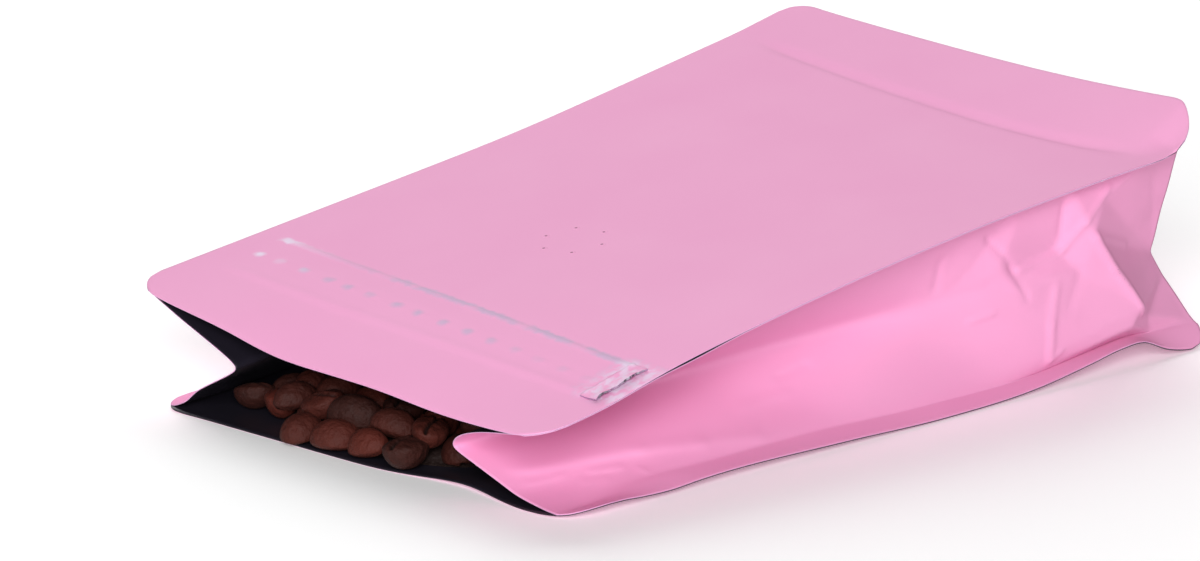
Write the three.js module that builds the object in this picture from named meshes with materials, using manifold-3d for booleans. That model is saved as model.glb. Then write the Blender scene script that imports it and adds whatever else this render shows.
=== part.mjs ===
// Flat bottom coffee bag, open at its mouth and lying on its back panel, with roasted beans inside the lip.
// Millimetres, +Z up. X runs along the bag, with the mouth at -X and the flat bottom at +X. Y runs across it.
// The origin is on the surface under the middle of the bag. The bag is one film pouch: front panel, back
// panel, two side gussets and a bottom panel, all three folded inwards, welded together along narrow fins.

import * as THREE from 'three';
import { mergeVertices } from 'three/addons/utils/BufferGeometryUtils.js';
import Module from 'manifold-3d';

// Driving dimensions of the pouch
const BAG_WIDTH = 130;
const FRONT_MOUTH_X = -102.5;
const FRONT_END_X = 98;
const BACK_MOUTH_X = { near: -94.7, far: -100.5 };
const BACK_END_X = 102.5;
const FILM = 0.6;
const SIDE_FIN = 5;
const BOTTOM_FIN = 7;
const CORNER_RADIUS = 8;
const GUSSET_DEPTH_AT_MOUTH = 26;

// Height of the front panel over the surface: near edge, far edge, lip and the strip past the bottom crease
const NEAR_EDGE = { start: 19.6, rise: 45.1, droop: 17.6 };
const FAR_EDGE = { start: 26.4, rise: 27.5, extraRise: 10.4, bendAt: 0.55, bendWidth: 0.04 };
const LIP_SAG = 4;
const LIP_LENGTH = 28;
const CREASE_FROM_END = 22;
const FLARE = { middle: 3, across: -3.8, edges: 1.2 };

// Tear strip embossed across the front panel below the mouth
const STRIP = { from: 16, to: 34, halfLength: 58.5, height: 0.5, edge: 0.4 };

// Back panel: flat in the middle, with side fins that lift a little off the surface
const FLAT_HALF_WIDTH = 54;
const FIN_LIFT = 1.2;
const NEAR_BUCKLE = { height: 4, at: 74, width: 12 };

// Gusset fold along the bag, from the mouth (0) to the bottom (1): its depth, negative where it pops out,
// and its share of the way down from the front panel to the back panel
const GUSSET_DEPTH = [
  [0, GUSSET_DEPTH_AT_MOUTH], [0.3, 20.5], [0.53, 15.5], [0.67, 11.5], [0.83, -2], [1, 6],
];
const GUSSET_FOLD_AT = [[0, 0.44], [0.5, 0.56], [1, 0.57]];
const GUSSET_END_RECESS = 7.5;
const BOTTOM_FOLD_DEPTH = 12;
const BOTTOM_CORNER_SHARE = 0.15;

// Heap of roasted beans on the back panel, just inside the mouth
const HEAP = { fromLip: 18.5, y: 8, halfX: 17, halfY: 42, squareness: 3 };
const MOUND = { inset: 2, height: 3.4, shoulder: 0.6, sides: 24 };
const UPPER_LAYER = { halfX: 11, halfY: 31, lift: 3.4 };
const BEAN_TILT = { lower: 0.5, upper: 0.6 };
const BEAN = { length: 11, width: 8.4, height: 6.2, flatSide: 0.35, spread: 0.12, sides: 8, rings: 5 };
const BEAN_PITCH = 10.2;
const BEAN_SHIFT = 2;
const BEANS_FLAT_SIDE_UP = 0.35;
const LAYER_SEED = { lower: 100, upper: 900 };
const CLEARANCE = 0.3;

// Rows and columns of the film grids
const ACROSS_FRONT = [-65, -63.2, -60.5, -57, -46, -31, -15, 0, 15, 31, 46, 57, 60.5, 63.2, 65];
const ACROSS_BACK = [-65, -63.2, -60.5, -57, -FLAT_HALF_WIDTH, FLAT_HALF_WIDTH, 57, 60.5, 63.2, 65];
const ALONG_STEPS = 26;
const ROW_SPACING = 1.6;
const FOLD_STEPS = 8;
const BOTTOM_STEPS = 12;

const HALF_WIDTH = BAG_WIDTH / 2;
const WELD_Y = HALF_WIDTH - SIDE_FIN;

const clamp01 = (value) => Math.min(1, Math.max(0, value));
const mix = (from, to, share) => from + (to - from) * share;
const tent = (share) => 1 - Math.abs(2 * share - 1);

// A repeatable number from 0 to 1 for each whole number
function scatter(index) {
  const wave = Math.sin(index * 12.9898 + 4.1) * 43758.5453;
  return wave - Math.floor(wave);
}

// Value at a place from 0 to 1 along a list of [place, value] pairs, straight between them
function along(pairs, place) {
  const next = Math.max(1, pairs.findIndex((pair) => pair[0] >= Math.min(1, place)));
  const [from, to] = [pairs[next - 1], pairs[next]];
  return mix(from[1], to[1], (place - from[0]) / (to[0] - from[0]));
}

// How far a die-cut round corner cuts an end back, at a distance from the side edge
function cornerInset(fromEdge) {
  const inside = Math.max(0, CORNER_RADIUS - fromEdge);
  return CORNER_RADIUS - Math.sqrt(CORNER_RADIUS ** 2 - inside ** 2);
}

// Height of the middle of the front film over a point: straight between its two edges, with the lip
// sagging at the mouth, the strip past the bottom crease bent up and the tear strip raised
function frontHeight(x, y) {
  const place = (x - FRONT_MOUTH_X) / (FRONT_END_X - FRONT_MOUTH_X);
  const side = y / HALF_WIDTH;
  const near = NEAR_EDGE.start + NEAR_EDGE.rise * place - NEAR_EDGE.droop * place ** 2;
  const bend = FAR_EDGE.bendWidth * Math.log1p(Math.exp((place - FAR_EDGE.bendAt) / FAR_EDGE.bendWidth));
  const far = FAR_EDGE.start + FAR_EDGE.rise * place + FAR_EDGE.extraRise * bend;
  const fromMouth = x - FRONT_MOUTH_X;
  const sag = LIP_SAG * (1 - side ** 2) * clamp01(1 - fromMouth / LIP_LENGTH) ** 1.5;
  const flare = FLARE.middle + FLARE.across * side + FLARE.edges * side ** 2;
  const pastCrease = clamp01(1 - (FRONT_END_X - x) / CREASE_FROM_END);
  const onStrip = fromMouth > STRIP.from && fromMouth < STRIP.to && Math.abs(y) < STRIP.halfLength;
  return mix(near, far, (1 + side) / 2) - sag + flare * pastCrease + (onStrip ? STRIP.height : 0);
}

// Height of the middle of the back film: flat, with its side fins lifted and one buckle in the near fin
function backHeight(x, y) {
  const outside = clamp01((Math.abs(y) - FLAT_HALF_WIDTH) / (HALF_WIDTH - FLAT_HALF_WIDTH));
  const buckle = NEAR_BUCKLE.height * Math.exp(-(((x - NEAR_BUCKLE.at) / NEAR_BUCKLE.width) ** 2));
  return FILM / 2 + (FIN_LIFT + (y < 0 ? buckle : 0)) * outside ** 2;
}

// Where the back panel's mouth edge lies, which runs a little askew across the bag
const backMouthX = (y) => mix(BACK_MOUTH_X.near, BACK_MOUTH_X.far, (1 + y / HALF_WIDTH) / 2);

// One point of the front panel, from its share of the length and its place across
function frontPoint(share, y) {
  const inset = cornerInset(HALF_WIDTH - Math.abs(y));
  const x = mix(FRONT_MOUTH_X + inset, FRONT_END_X - inset, share);
  return new THREE.Vector3(x, y, frontHeight(x, y));
}

// One point of the back panel, in the same way
function backPoint(share, y) {
  const inset = cornerInset(HALF_WIDTH - Math.abs(y));
  const x = mix(backMouthX(y) + inset, BACK_END_X - inset, share);
  return new THREE.Vector3(x, y, backHeight(x, y));
}

// Share of the way down from the front panel to the back panel, for a fold that is creased at 0.5
function downShare(share, fold) {
  const crease = along(GUSSET_FOLD_AT, share);
  return fold < 0.5 ? 2 * fold * crease : mix(crease, 1, 2 * fold - 1);
}

// One point of a side gusset: side is -1 near or 1 far, fold runs from the front panel (0) to the back (1)
function gussetPoint(side, share, fold) {
  const weld = side * WELD_Y;
  const down = downShare(share, fold);
  const mouthX = mix(FRONT_MOUTH_X, backMouthX(weld), down) + cornerInset(SIDE_FIN);
  const endX = mix(FRONT_END_X, BACK_END_X, down) - cornerInset(SIDE_FIN) - GUSSET_END_RECESS * tent(fold);
  const x = mix(mouthX, endX, share);
  const y = side * (WELD_Y - along(GUSSET_DEPTH, share) * tent(fold));
  return new THREE.Vector3(x, y, mix(frontHeight(x, weld), backHeight(x, weld), down));
}

// One point of the bottom panel: across runs from the near gusset (-1) to the far gusset (1)
function bottomPoint(across, fold) {
  const edge = gussetPoint(Math.sign(across) || 1, 1, fold);
  const inwards = clamp01((1 - Math.abs(across)) / BOTTOM_CORNER_SHARE);
  const recess = mix(GUSSET_END_RECESS, BOTTOM_FOLD_DEPTH, inwards) * tent(fold) + BOTTOM_FIN * inwards;
  const down = downShare(1, fold);
  const x = mix(FRONT_END_X, BACK_END_X, down) - cornerInset(SIDE_FIN) - recess;
  const y = Math.abs(edge.y) * across;
  return new THREE.Vector3(x, y, mix(frontHeight(x, y), backHeight(x, y), down));
}

// A closed film from a grid of points on its middle: both faces half a film away, and its four edges
function film(rows, columns, pointAt) {
  const points = rows.map((row) => columns.map((column) => pointAt(row, column)));
  const positions = [];
  for (const face of [1, -1]) {
    for (let r = 0; r < rows.length; r += 1) {
      for (let c = 0; c < columns.length; c += 1) {
        const alongRow = points[r][Math.min(c + 1, columns.length - 1)].clone();
        alongRow.sub(points[r][Math.max(c - 1, 0)]);
        const alongColumn = points[Math.min(r + 1, rows.length - 1)][c].clone();
        alongColumn.sub(points[Math.max(r - 1, 0)][c]);
        const normal = alongColumn.cross(alongRow).normalize();
        positions.push(...points[r][c].clone().addScaledVector(normal, face * FILM / 2).toArray());
      }
    }
  }
  return gridSolid(positions, rows.length, columns.length);
}

// Joins two grids of points of the same size, face to face, into one closed geometry
function gridSolid(positions, rowCount, columnCount) {
  const upper = (r, c) => r * columnCount + c;
  const lower = (r, c) => rowCount * columnCount + upper(r, c);
  const triangles = [];
  const quad = (a, b, c, d) => triangles.push(a, b, c, a, c, d);
  for (let r = 0; r + 1 < rowCount; r += 1) {
    for (let c = 0; c + 1 < columnCount; c += 1) {
      quad(upper(r, c), upper(r + 1, c), upper(r + 1, c + 1), upper(r, c + 1));
      quad(lower(r, c), lower(r, c + 1), lower(r + 1, c + 1), lower(r + 1, c));
    }
    quad(upper(r, 0), lower(r, 0), lower(r + 1, 0), upper(r + 1, 0));
    const c = columnCount - 1;
    quad(upper(r, c), upper(r + 1, c), lower(r + 1, c), lower(r, c));
  }
  for (let c = 0; c + 1 < columnCount; c += 1) {
    quad(upper(0, c), upper(0, c + 1), lower(0, c + 1), lower(0, c));
    const r = rowCount - 1;
    quad(upper(r, c), lower(r, c), lower(r, c + 1), upper(r, c + 1));
  }
  const geometry = new THREE.BufferGeometry();
  geometry.setAttribute('position', new THREE.Float32BufferAttribute(positions, 3));
  geometry.setIndex(triangles);
  return geometry;
}

const wasm = await Module();
wasm.setup();

// A closed geometry as a solid that can be joined
function solidOf(geometry) {
  const bare = geometry.clone();
  bare.deleteAttribute('normal');
  bare.deleteAttribute('uv');
  const merged = mergeVertices(bare, 1e-4);
  return new wasm.Manifold(new wasm.Mesh({
    numProp: 3,
    vertProperties: new Float32Array(merged.attributes.position.array),
    triVerts: new Uint32Array(merged.index.array),
  }));
}

// All the solids joined into one geometry
function joined(solids) {
  const whole = solids.reduce((sum, solid) => sum.add(solid)).getMesh();
  const geometry = new THREE.BufferGeometry();
  geometry.setAttribute('position', new THREE.Float32BufferAttribute(whole.vertProperties, 3));
  geometry.setIndex(Array.from(whole.triVerts));
  return geometry;
}

// Evenly spaced shares from 0 to 1
const shares = (steps) => Array.from({ length: steps + 1 }, (_, index) => index / steps);

// Shares along the front panel, with an extra pair at each edge of the tear strip and one at the crease
function frontShares() {
  const length = FRONT_END_X - FRONT_MOUTH_X;
  const stripEdges = [STRIP.from, STRIP.to].flatMap((at) => [at - STRIP.edge, at + STRIP.edge]);
  const wanted = [...stripEdges, length - CREASE_FROM_END].map((at) => at / length);
  const spare = ROW_SPACING / length;
  const isFree = (share) => wanted.every((other) => Math.abs(other - share) > spare);
  return [...shares(ALONG_STEPS).filter(isFree), ...wanted].sort((a, b) => a - b);
}

// Front panel, back panel and the folded wall that runs round the sides and the bottom
function pouch() {
  const front = film(frontShares(), ACROSS_FRONT, frontPoint);
  const back = film(shares(ALONG_STEPS), ACROSS_BACK, backPoint);
  const near = shares(ALONG_STEPS).map((share) => (fold) => gussetPoint(-1, share, fold));
  const bottom = shares(BOTTOM_STEPS).slice(1, -1).map((share) => (fold) => bottomPoint(2 * share - 1, fold));
  const far = shares(ALONG_STEPS).reverse().map((share) => (fold) => gussetPoint(1, share, fold));
  const wall = film([...near, ...bottom, ...far], shares(FOLD_STEPS), (pointAt, fold) => pointAt(fold));
  return joined([front, back, wall].map(solidOf));
}

// One roasted bean at the origin: round on top, nearly flat below
function beanGeometry(scale) {
  const geometry = new THREE.SphereGeometry(0.5, BEAN.sides, BEAN.rings);
  geometry.rotateX(Math.PI / 2);
  const position = geometry.attributes.position;
  for (let index = 0; index < position.count; index += 1) {
    const z = position.getZ(index);
    position.setZ(index, z < 0 ? z * BEAN.flatSide : z);
  }
  geometry.scale(BEAN.length * scale, BEAN.width * scale, BEAN.height * scale / (0.5 + 0.5 * BEAN.flatSide));
  return geometry;
}

// Middle of the heap along the bag, at a distance across from the heap's middle: it follows the lip
const heapX = (y) => backMouthX(HEAP.y + y) + HEAP.fromLip;

// Beans of one layer on a staggered grid inside a rounded outline, each turned by its own number
function beanLayer(halfX, halfY, floor, tilt, seed) {
  const beans = [];
  const rowPitch = BEAN_PITCH * Math.sqrt(0.75);
  const rowCount = Math.floor(2 * halfX / rowPitch) + 1;
  const columnCount = Math.floor(2 * halfY / BEAN_PITCH) + 1;
  for (let row = 0; row < rowCount; row += 1) {
    for (let column = 0; column < columnCount; column += 1) {
      const number = seed + row * 40 + column;
      const x = (row + 0.25) * rowPitch - halfX + (scatter(number) - 0.5) * BEAN_SHIFT;
      const y = (column + (row % 2) / 2) * BEAN_PITCH - halfY + (scatter(number + 0.3) - 0.5) * BEAN_SHIFT;
      if (Math.abs(x / halfX) ** HEAP.squareness + Math.abs(y / halfY) ** HEAP.squareness < 1) {
        const geometry = beanGeometry(1 + (scatter(number + 0.7) - 0.5) * 2 * BEAN.spread);
        const turnedOver = scatter(number + 0.11) < BEANS_FLAT_SIDE_UP ? Math.PI : 0;
        geometry.rotateX(turnedOver + (scatter(number + 0.5) - 0.5) * tilt);
        geometry.rotateY((scatter(number + 0.9) - 0.5) * tilt);
        geometry.rotateZ(scatter(number + 0.2) * 2 * Math.PI);
        geometry.computeBoundingBox();
        geometry.translate(heapX(y) + x, HEAP.y + y, floor - geometry.boundingBox.min.z);
        beans.push(geometry);
      }
    }
  }
  return beans;
}

// Low mound under the beans, with the same rounded outline as their lower layer
function heapCore(floor) {
  const profile = [[0, 0], [1, 0], [1, MOUND.shoulder], [MOUND.shoulder, 1], [0, 1]];
  const outline = profile.map(([radius, z]) => new THREE.Vector2(radius, z));
  const geometry = new THREE.LatheGeometry(outline, MOUND.sides);
  geometry.rotateX(Math.PI / 2);
  const position = geometry.attributes.position;
  for (let index = 0; index < position.count; index += 1) {
    const [x, y] = [position.getX(index), position.getY(index)];
    const radius = Math.hypot(x, y);
    const power = HEAP.squareness;
    const grown = radius > 0 ? radius / (Math.abs(x) ** power + Math.abs(y) ** power) ** (1 / power) : 1;
    position.setXY(index, x * grown, y * grown);
  }
  geometry.scale(HEAP.halfX - MOUND.inset, HEAP.halfY - MOUND.inset, MOUND.height);
  for (let index = 0; index < position.count; index += 1) {
    position.setX(index, position.getX(index) + heapX(position.getY(index)));
  }
  geometry.translate(0, HEAP.y, floor);
  return geometry;
}

// Heap of beans: the mound, a layer lying on the film and a few on top of it
function beanHeap() {
  const floor = FILM + CLEARANCE;
  const lower = beanLayer(HEAP.halfX, HEAP.halfY, floor, BEAN_TILT.lower, LAYER_SEED.lower);
  const raised = floor + UPPER_LAYER.lift;
  const upper = beanLayer(UPPER_LAYER.halfX, UPPER_LAYER.halfY, raised, BEAN_TILT.upper, LAYER_SEED.upper);
  return joined([heapCore(floor), ...lower, ...upper].map(solidOf));
}

// A named sub-part with its own material
function part(name, geometry, colour, roughness) {
  const material = new THREE.MeshStandardMaterial({ color: colour, roughness, metalness: 0 });
  const mesh = new THREE.Mesh(geometry, material);
  mesh.name = name;
  return mesh;
}

const coffeeBag = new THREE.Group();
coffeeBag.add(part('bag', pouch(), 0xe9a5c9, 0.5));
coffeeBag.add(part('beans', beanHeap(), 0x3e241d, 0.45));

export default coffeeBag;
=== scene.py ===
"""Looks of an open flat bottom coffee bag that lies on its back panel with roasted beans inside its lip.

The bag is made the way the real one is: five printed film panels, welded along narrow two-layer fins.
Every panel is a thin closed film over a surface y(x, v) or z(x, y) that is worked out with numpy, in metres.
X runs from the mouth to the flat bottom, Y across the bag towards its far side, Z up.
"""

import math
from functools import partial

import bpy
import numpy as np
from bpy.props import FloatProperty, FloatVectorProperty, IntProperty, PointerProperty
from bpy.types import Operator, Panel, PropertyGroup
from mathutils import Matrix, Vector
from mathutils.geometry import delaunay_2d_cdt


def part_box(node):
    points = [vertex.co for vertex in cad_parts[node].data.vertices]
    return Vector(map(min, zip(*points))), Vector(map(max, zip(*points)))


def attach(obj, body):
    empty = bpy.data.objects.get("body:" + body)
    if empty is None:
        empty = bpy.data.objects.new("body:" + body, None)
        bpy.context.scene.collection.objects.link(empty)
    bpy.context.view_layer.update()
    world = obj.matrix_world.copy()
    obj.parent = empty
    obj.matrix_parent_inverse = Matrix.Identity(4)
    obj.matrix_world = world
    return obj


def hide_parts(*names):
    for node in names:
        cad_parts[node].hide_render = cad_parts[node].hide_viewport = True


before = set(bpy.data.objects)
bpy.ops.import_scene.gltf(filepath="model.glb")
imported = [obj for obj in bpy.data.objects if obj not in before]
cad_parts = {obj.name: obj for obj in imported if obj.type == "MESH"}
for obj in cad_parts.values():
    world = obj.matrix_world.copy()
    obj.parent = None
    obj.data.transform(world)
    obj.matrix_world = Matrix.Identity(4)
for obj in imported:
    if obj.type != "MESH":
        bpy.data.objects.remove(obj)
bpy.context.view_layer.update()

bl_info = {
    "name": "Flat bottom coffee bag",
    "version": (1, 0, 0),
    "blender": (4, 5, 0),
    "location": "View3D > Sidebar > Coffee bag",
    "description": "Builds an open film coffee bag with roasted beans in its mouth, on a pale studio floor",
    "category": "Add Mesh",
}

BAG_LOW, BAG_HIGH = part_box("bag")
MM = 0.001


def linear(code):
    """Linear RGB of an sRGB hex code, by the sRGB transfer curve."""
    channels = [int(code[at:at + 2], 16) / 255 for at in (1, 3, 5)]
    return [c / 12.92 if c <= 0.04045 else ((c + 0.055) / 1.055) ** 2.4 for c in channels]


# Settings that a user would change

def length_setting(name, description, default):
    """A length in metres."""
    return FloatProperty(name=name, description=description, default=default, unit="LENGTH", precision=4)


def colour_setting(name, description, code):
    """An opaque colour given as an sRGB hex code."""
    return FloatVectorProperty(name=name, description=description, default=(*linear(code), 1.0),
                               subtype="COLOR", size=4, min=0.0, max=1.0)


class BagSizes(PropertyGroup):
    """Sizes of the pouch."""
    half_width: length_setting("Half width", "Half the width of the front and back panels",
                               min(-BAG_LOW.y, BAG_HIGH.y))
    mouth_x: length_setting("Mouth", "Where the front panel's mouth edge lies", BAG_LOW.x)
    front_end_x: length_setting("Front end", "Where the front panel ends over the flat bottom", 98 * MM)
    back_end_x: length_setting("Back end", "Where the back panel ends under the flat bottom", BAG_HIGH.x)
    back_mouth_near_x: length_setting("Near lip", "Where the back panel's lip starts, near side", -94.1 * MM)
    back_mouth_far_x: length_setting("Far lip", "Where the back panel's lip starts, far side", -104.0 * MM)
    film: length_setting("Film", "Thickness of the film, drawn a little over the real 0.14 mm", 0.18 * MM)
    side_fin: length_setting("Side fin", "Width of the welded fins along the sides", 5 * MM)
    bottom_fin: length_setting("Bottom fin", "Width of the welded fins along the bottom", 7 * MM)
    corner_radius: length_setting("Corner radius", "Radius of the die-cut corners", 8 * MM)
    strip_start: length_setting("Tear strip start", "From the mouth to the tear strip", 17 * MM)
    strip_end: length_setting("Tear strip end", "From the mouth to the tear strip's far edge", 35.0 * MM)
    strip_half: length_setting("Tear strip half length", "Half the length of the tear strip", 58.5 * MM)
    valve_from_mouth: length_setting("Valve", "From the mouth to the ring of pinholes", 71.8 * MM)
    valve_radius: length_setting("Valve ring", "Radius of the ring of pinholes", 7.25 * MM)


class BagColours(PropertyGroup):
    """Colours of the film, the beans and the floor."""
    ink: colour_setting("Ink", "Printed colour of the film", "#E297C0")
    ink_light: colour_setting("Light ink", "Print where the varnish scatters more light", "#E69FC5")
    # The two front inks are the gusset ink made lighter and greyer: painted sheen, standing in for the white
    # veil of reflected light on the front panel.
    front_ink_painted_sheen: colour_setting("Front ink", "Print of the front, where the varnish veils it", "#E79EC7")
    front_ink_light_painted_sheen: colour_setting("Light front ink", "Front where the varnish veils it most", "#EAA5CB")
    foil: colour_setting("Foil", "Bare aluminium layer of the film", "#CFC6D6")
    worn: colour_setting("Worn ink", "Ink that is rubbed thin over the foil", "#C6A2C3")
    worn_light: colour_setting("Bright wear", "Ink that is rubbed off the foil", "#E6D3E8")
    # The pierced colour is the torn film darkened with painted shade, since the shallow pinhole pits cast
    # little shade of their own.
    pierced: colour_setting("Pierced", "Film torn by the pinholes", "#8C4F6C")
    inside: colour_setting("Inside", "Inner film", "#16141A")
    inside_light: colour_setting("Light inside", "Inner film where it is least glossy", "#221D2A")
    edge: colour_setting("Cut edge", "Cut edge of the laminate", "#D59EC6")
    roast_dark: colour_setting("Dark roast", "Darkest beans", "#2A0E09")
    roast_light: colour_setting("Light roast", "Lightest beans", "#542017")
    # The seam colour is painted shade: it darkens each bean's sunk seam and, most of the way, the mound under
    # the heap.
    seam: colour_setting("Seam", "Seam of a bean", "#140B09")
    floor: colour_setting("Floor", "Studio floor", "#FAFAFA")


class BeanSizes(PropertyGroup):
    """Sizes of the roasted beans."""
    length: length_setting("Length", "Length of a bean", 11 * MM)
    width: length_setting("Width", "Width of a bean", 8.4 * MM)
    height: length_setting("Height", "Thickness of a bean", 6.2 * MM)
    pitch: length_setting("Pitch", "Spacing of the beans in a layer", 10.2 * MM)
    around: IntProperty(name="Sides", description="Faces round a bean", default=40)
    along: IntProperty(name="Rings", description="Faces along a bean", default=22)


class StageSettings(PropertyGroup):
    """Camera and lights."""
    lens: FloatProperty(name="Lens", description="Focal length", default=150.0, unit="CAMERA")
    azimuth: FloatProperty(name="Azimuth", description="Turn of the camera round the bag",
                           default=math.radians(-42.57), subtype="ANGLE")
    elevation: FloatProperty(name="Elevation", description="Height angle of the camera",
                             default=math.radians(14.98), subtype="ANGLE")
    distance: length_setting("Distance", "Distance of the camera from its aim", 1.085)
    aim: FloatVectorProperty(name="Aim", description="Point that the camera looks at",
                             default=(-24.9 * MM, 1.5 * MM, 25 * MM), subtype="TRANSLATION")
    key_power: FloatProperty(name="Key light", description="Power of the key light",
                             default=37.0, unit="POWER")
    back_power: FloatProperty(name="Back light", description="Power of the light behind the bag",
                              default=32.0, unit="POWER")
    sky: FloatProperty(name="Sky", description="Strength of the even light from all sides", default=0.11)


# Shape of the front panel: its two edges, the sag of its lip, the crease before its flap, and slow waves.
# A pair of values is a range that a feature eases over, from where it is absent to where it is full.

NEAR_EDGE = {"start": 19.6 * MM, "rise": 45.1 * MM, "droop": 17.6 * MM, "dip": 0.9 * MM, "dip_at": -84 * MM,
             "dip_width": 13 * MM}
FAR_EDGE = {"start": 26.4 * MM, "rise": 27.5 * MM, "extra": 10.4 * MM, "bend_at": 0.55, "bend_width": 0.04}
LIP_SAG = {"middle": 4 * MM, "far": 1.1 * MM, "far_at": 18 * MM, "near": -0.7 * MM, "near_at": -17 * MM,
           "width": 15 * MM, "length": 28 * MM}
MOUTH_FADE = 1.5
FAR_CORNER = {"reach": 1.0 * MM, "over": (30 * MM, 60 * MM)}
CREASE = {"middle": 24 * MM, "far": 4 * MM, "near": 7 * MM, "near_from": 15 * MM, "near_over": 45 * MM,
          "soft": 1.0 * MM, "groove": 0.8 * MM, "groove_width": 1.9 * MM, "groove_over": (0.92, 0.7)}
FLARE = {"middle": 3.1 * MM, "across": -4.2 * MM, "edges": 2.0 * MM}
CORNER_DROOP = {"depth": 2.2 * MM, "over": (57 * MM, 63 * MM), "haste": 3}
# Height, length along, skew, lead along, length across, lead across
FRONT_WAVES = [(0.22 * MM, 17 * MM, 1.3, 0.0, 23 * MM, 0.4 + math.pi / 2),
               (0.30 * MM, 31 * MM, 0.0, -0.8, 29 * MM, 1.1)]
WAVES_OVER = (1.0, 0.8)
FRONT_END_ROUND = {-1: 1.4, 1: 0.8}

# Tear strip and valve
STRIP_SKEW = 1.25 * MM
STRIP_TAPER = 2.4 * MM
DOTS = {"at": 26.5 * MM, "pitch": 7.7 * MM}
STRIP_RELIEF = {"band": 0.20 * MM, "start_soft": 1.4 * MM, "end_soft": 0.8 * MM,
                "upper": 0.24 * MM, "upper_inset": 0.2 * MM, "upper_width": 0.9 * MM,
                "lower": 0.18 * MM, "lower_inset": 0.9 * MM, "lower_width": 1.4 * MM,
                "dots": 0.07 * MM, "dots_width": 0.8 * MM, "far_fade": 9 * MM, "near_fade": 1.5 * MM}
WEAR = {"line": (34 * MM, 8 * MM), "line_least": 0.3, "far_spot": 0.7, "far_spot_at": 55 * MM,
        "far_spot_width": 3 * MM, "line_ends": (59 * MM, 57 * MM), "dots_far": (58 * MM, 56 * MM),
        "dots_near": (-57 * MM, -52 * MM), "dots_fade": (-38 * MM, -12 * MM), "dots_least": 0.35,
        "rub": 0.8, "rub_y": (-51 * MM, -57 * MM), "rub_start": (19 * MM, 23 * MM),
        "rub_end": (39 * MM, 36 * MM)}
STRIP_END = {"from": 57 * MM, "to": 61.6 * MM, "start_inset": 1.6 * STRIP_TAPER, "end_reach": 0.4 * MM,
             "thickness": 0.4 * MM, "raised": 0.28 * MM, "lift": 0.8 * MM, "waver": 0.35 * MM,
             "start_over": (0, 0.12), "end_over": (1, 0.9), "end_lift": 0.4}
# Waves of the cut end as (height, turns along it, lead), and its lift as shares of even, wavy and ragged
RAGGED_WAVES = [(0.5, 13, 0.0), (0.3, 29, 1.1), (0.2, 61, 0.4)]
LIFT_WAVES = {"even": 0.75, "wave": 0.25, "turns": 11, "lead": 0.6, "ragged": 0.15}
VALVE_Y = 3.4 * MM
# A pinhole's closed profile as (radius, height) in mm: up over its lip, down into the pit and back underneath
PINHOLE_PROFILE = [(1.0, -0.03), (0.80, 0.02), (0.60, 0.08), (0.44, 0.10), (0.32, 0.07), (0.24, 0.02),
                   (0.12, 0.01), (0.02, 0.01), (0.02, -0.09), (1.0, -0.09)]
PINHOLES = {"count": 6, "sides": 24, "turned": math.radians(-16), "pit_from": 4, "pit_to": 8}

# Shape of the back panel. Heights (x, z) in mm along the welds and the fins' cut edges
NEAR_WELD_RISE = [(-100, 0.6), (-86, 1.0), (-70, 2.6), (-50, 3.0), (-20, 3.0), (15, 2.2), (45, 2.5),
                  (62, 4.2), (78, 5.6), (90, 4.7), (103, 3.8)]
NEAR_FIN_EDGE = [(-100, 0.7), (-94, 1.0), (-89, 1.9), (-80, 2.2), (-74, 1.8), (-66, 1.55), (-58, 2.0),
                 (-16, 1.5), (14, 0.6), (45, 1.6), (61, 3.7), (70, 5.1), (78, 5.3), (86, 2.2), (92, 0.9),
                 (103, 0.8)]
FAR_WELD_RISE = [(-100, 0.6), (-80, 1.0), (-40, 2.2), (40, 1.8), (80, 3.2), (103, 2.6)]
FAR_FIN_EDGE = [(-100, 0.45), (-80, 0.6), (-40, 1.4), (40, 1.0), (80, 1.6), (103, 0.8)]
BACK_FLOOR = 0.3 * MM
FLAT_HALF_WIDTH = 49 * MM
LIP_ARCH = {"height": 0.6 * MM, "at": -34 * MM, "width": 13 * MM, "length": 20 * MM}
LIP_HOLLOW = {"depth": 3.4 * MM, "at": -30 * MM, "width": 14 * MM}
LIP_CORNER = {-1: 9.5 * MM, 1: 11 * MM}
FAR_TUCK = {"depth": 6 * MM, "x": (-55 * MM, -98 * MM), "y": (40 * MM, 65 * MM), "z": (9 * MM, 2 * MM)}

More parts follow.
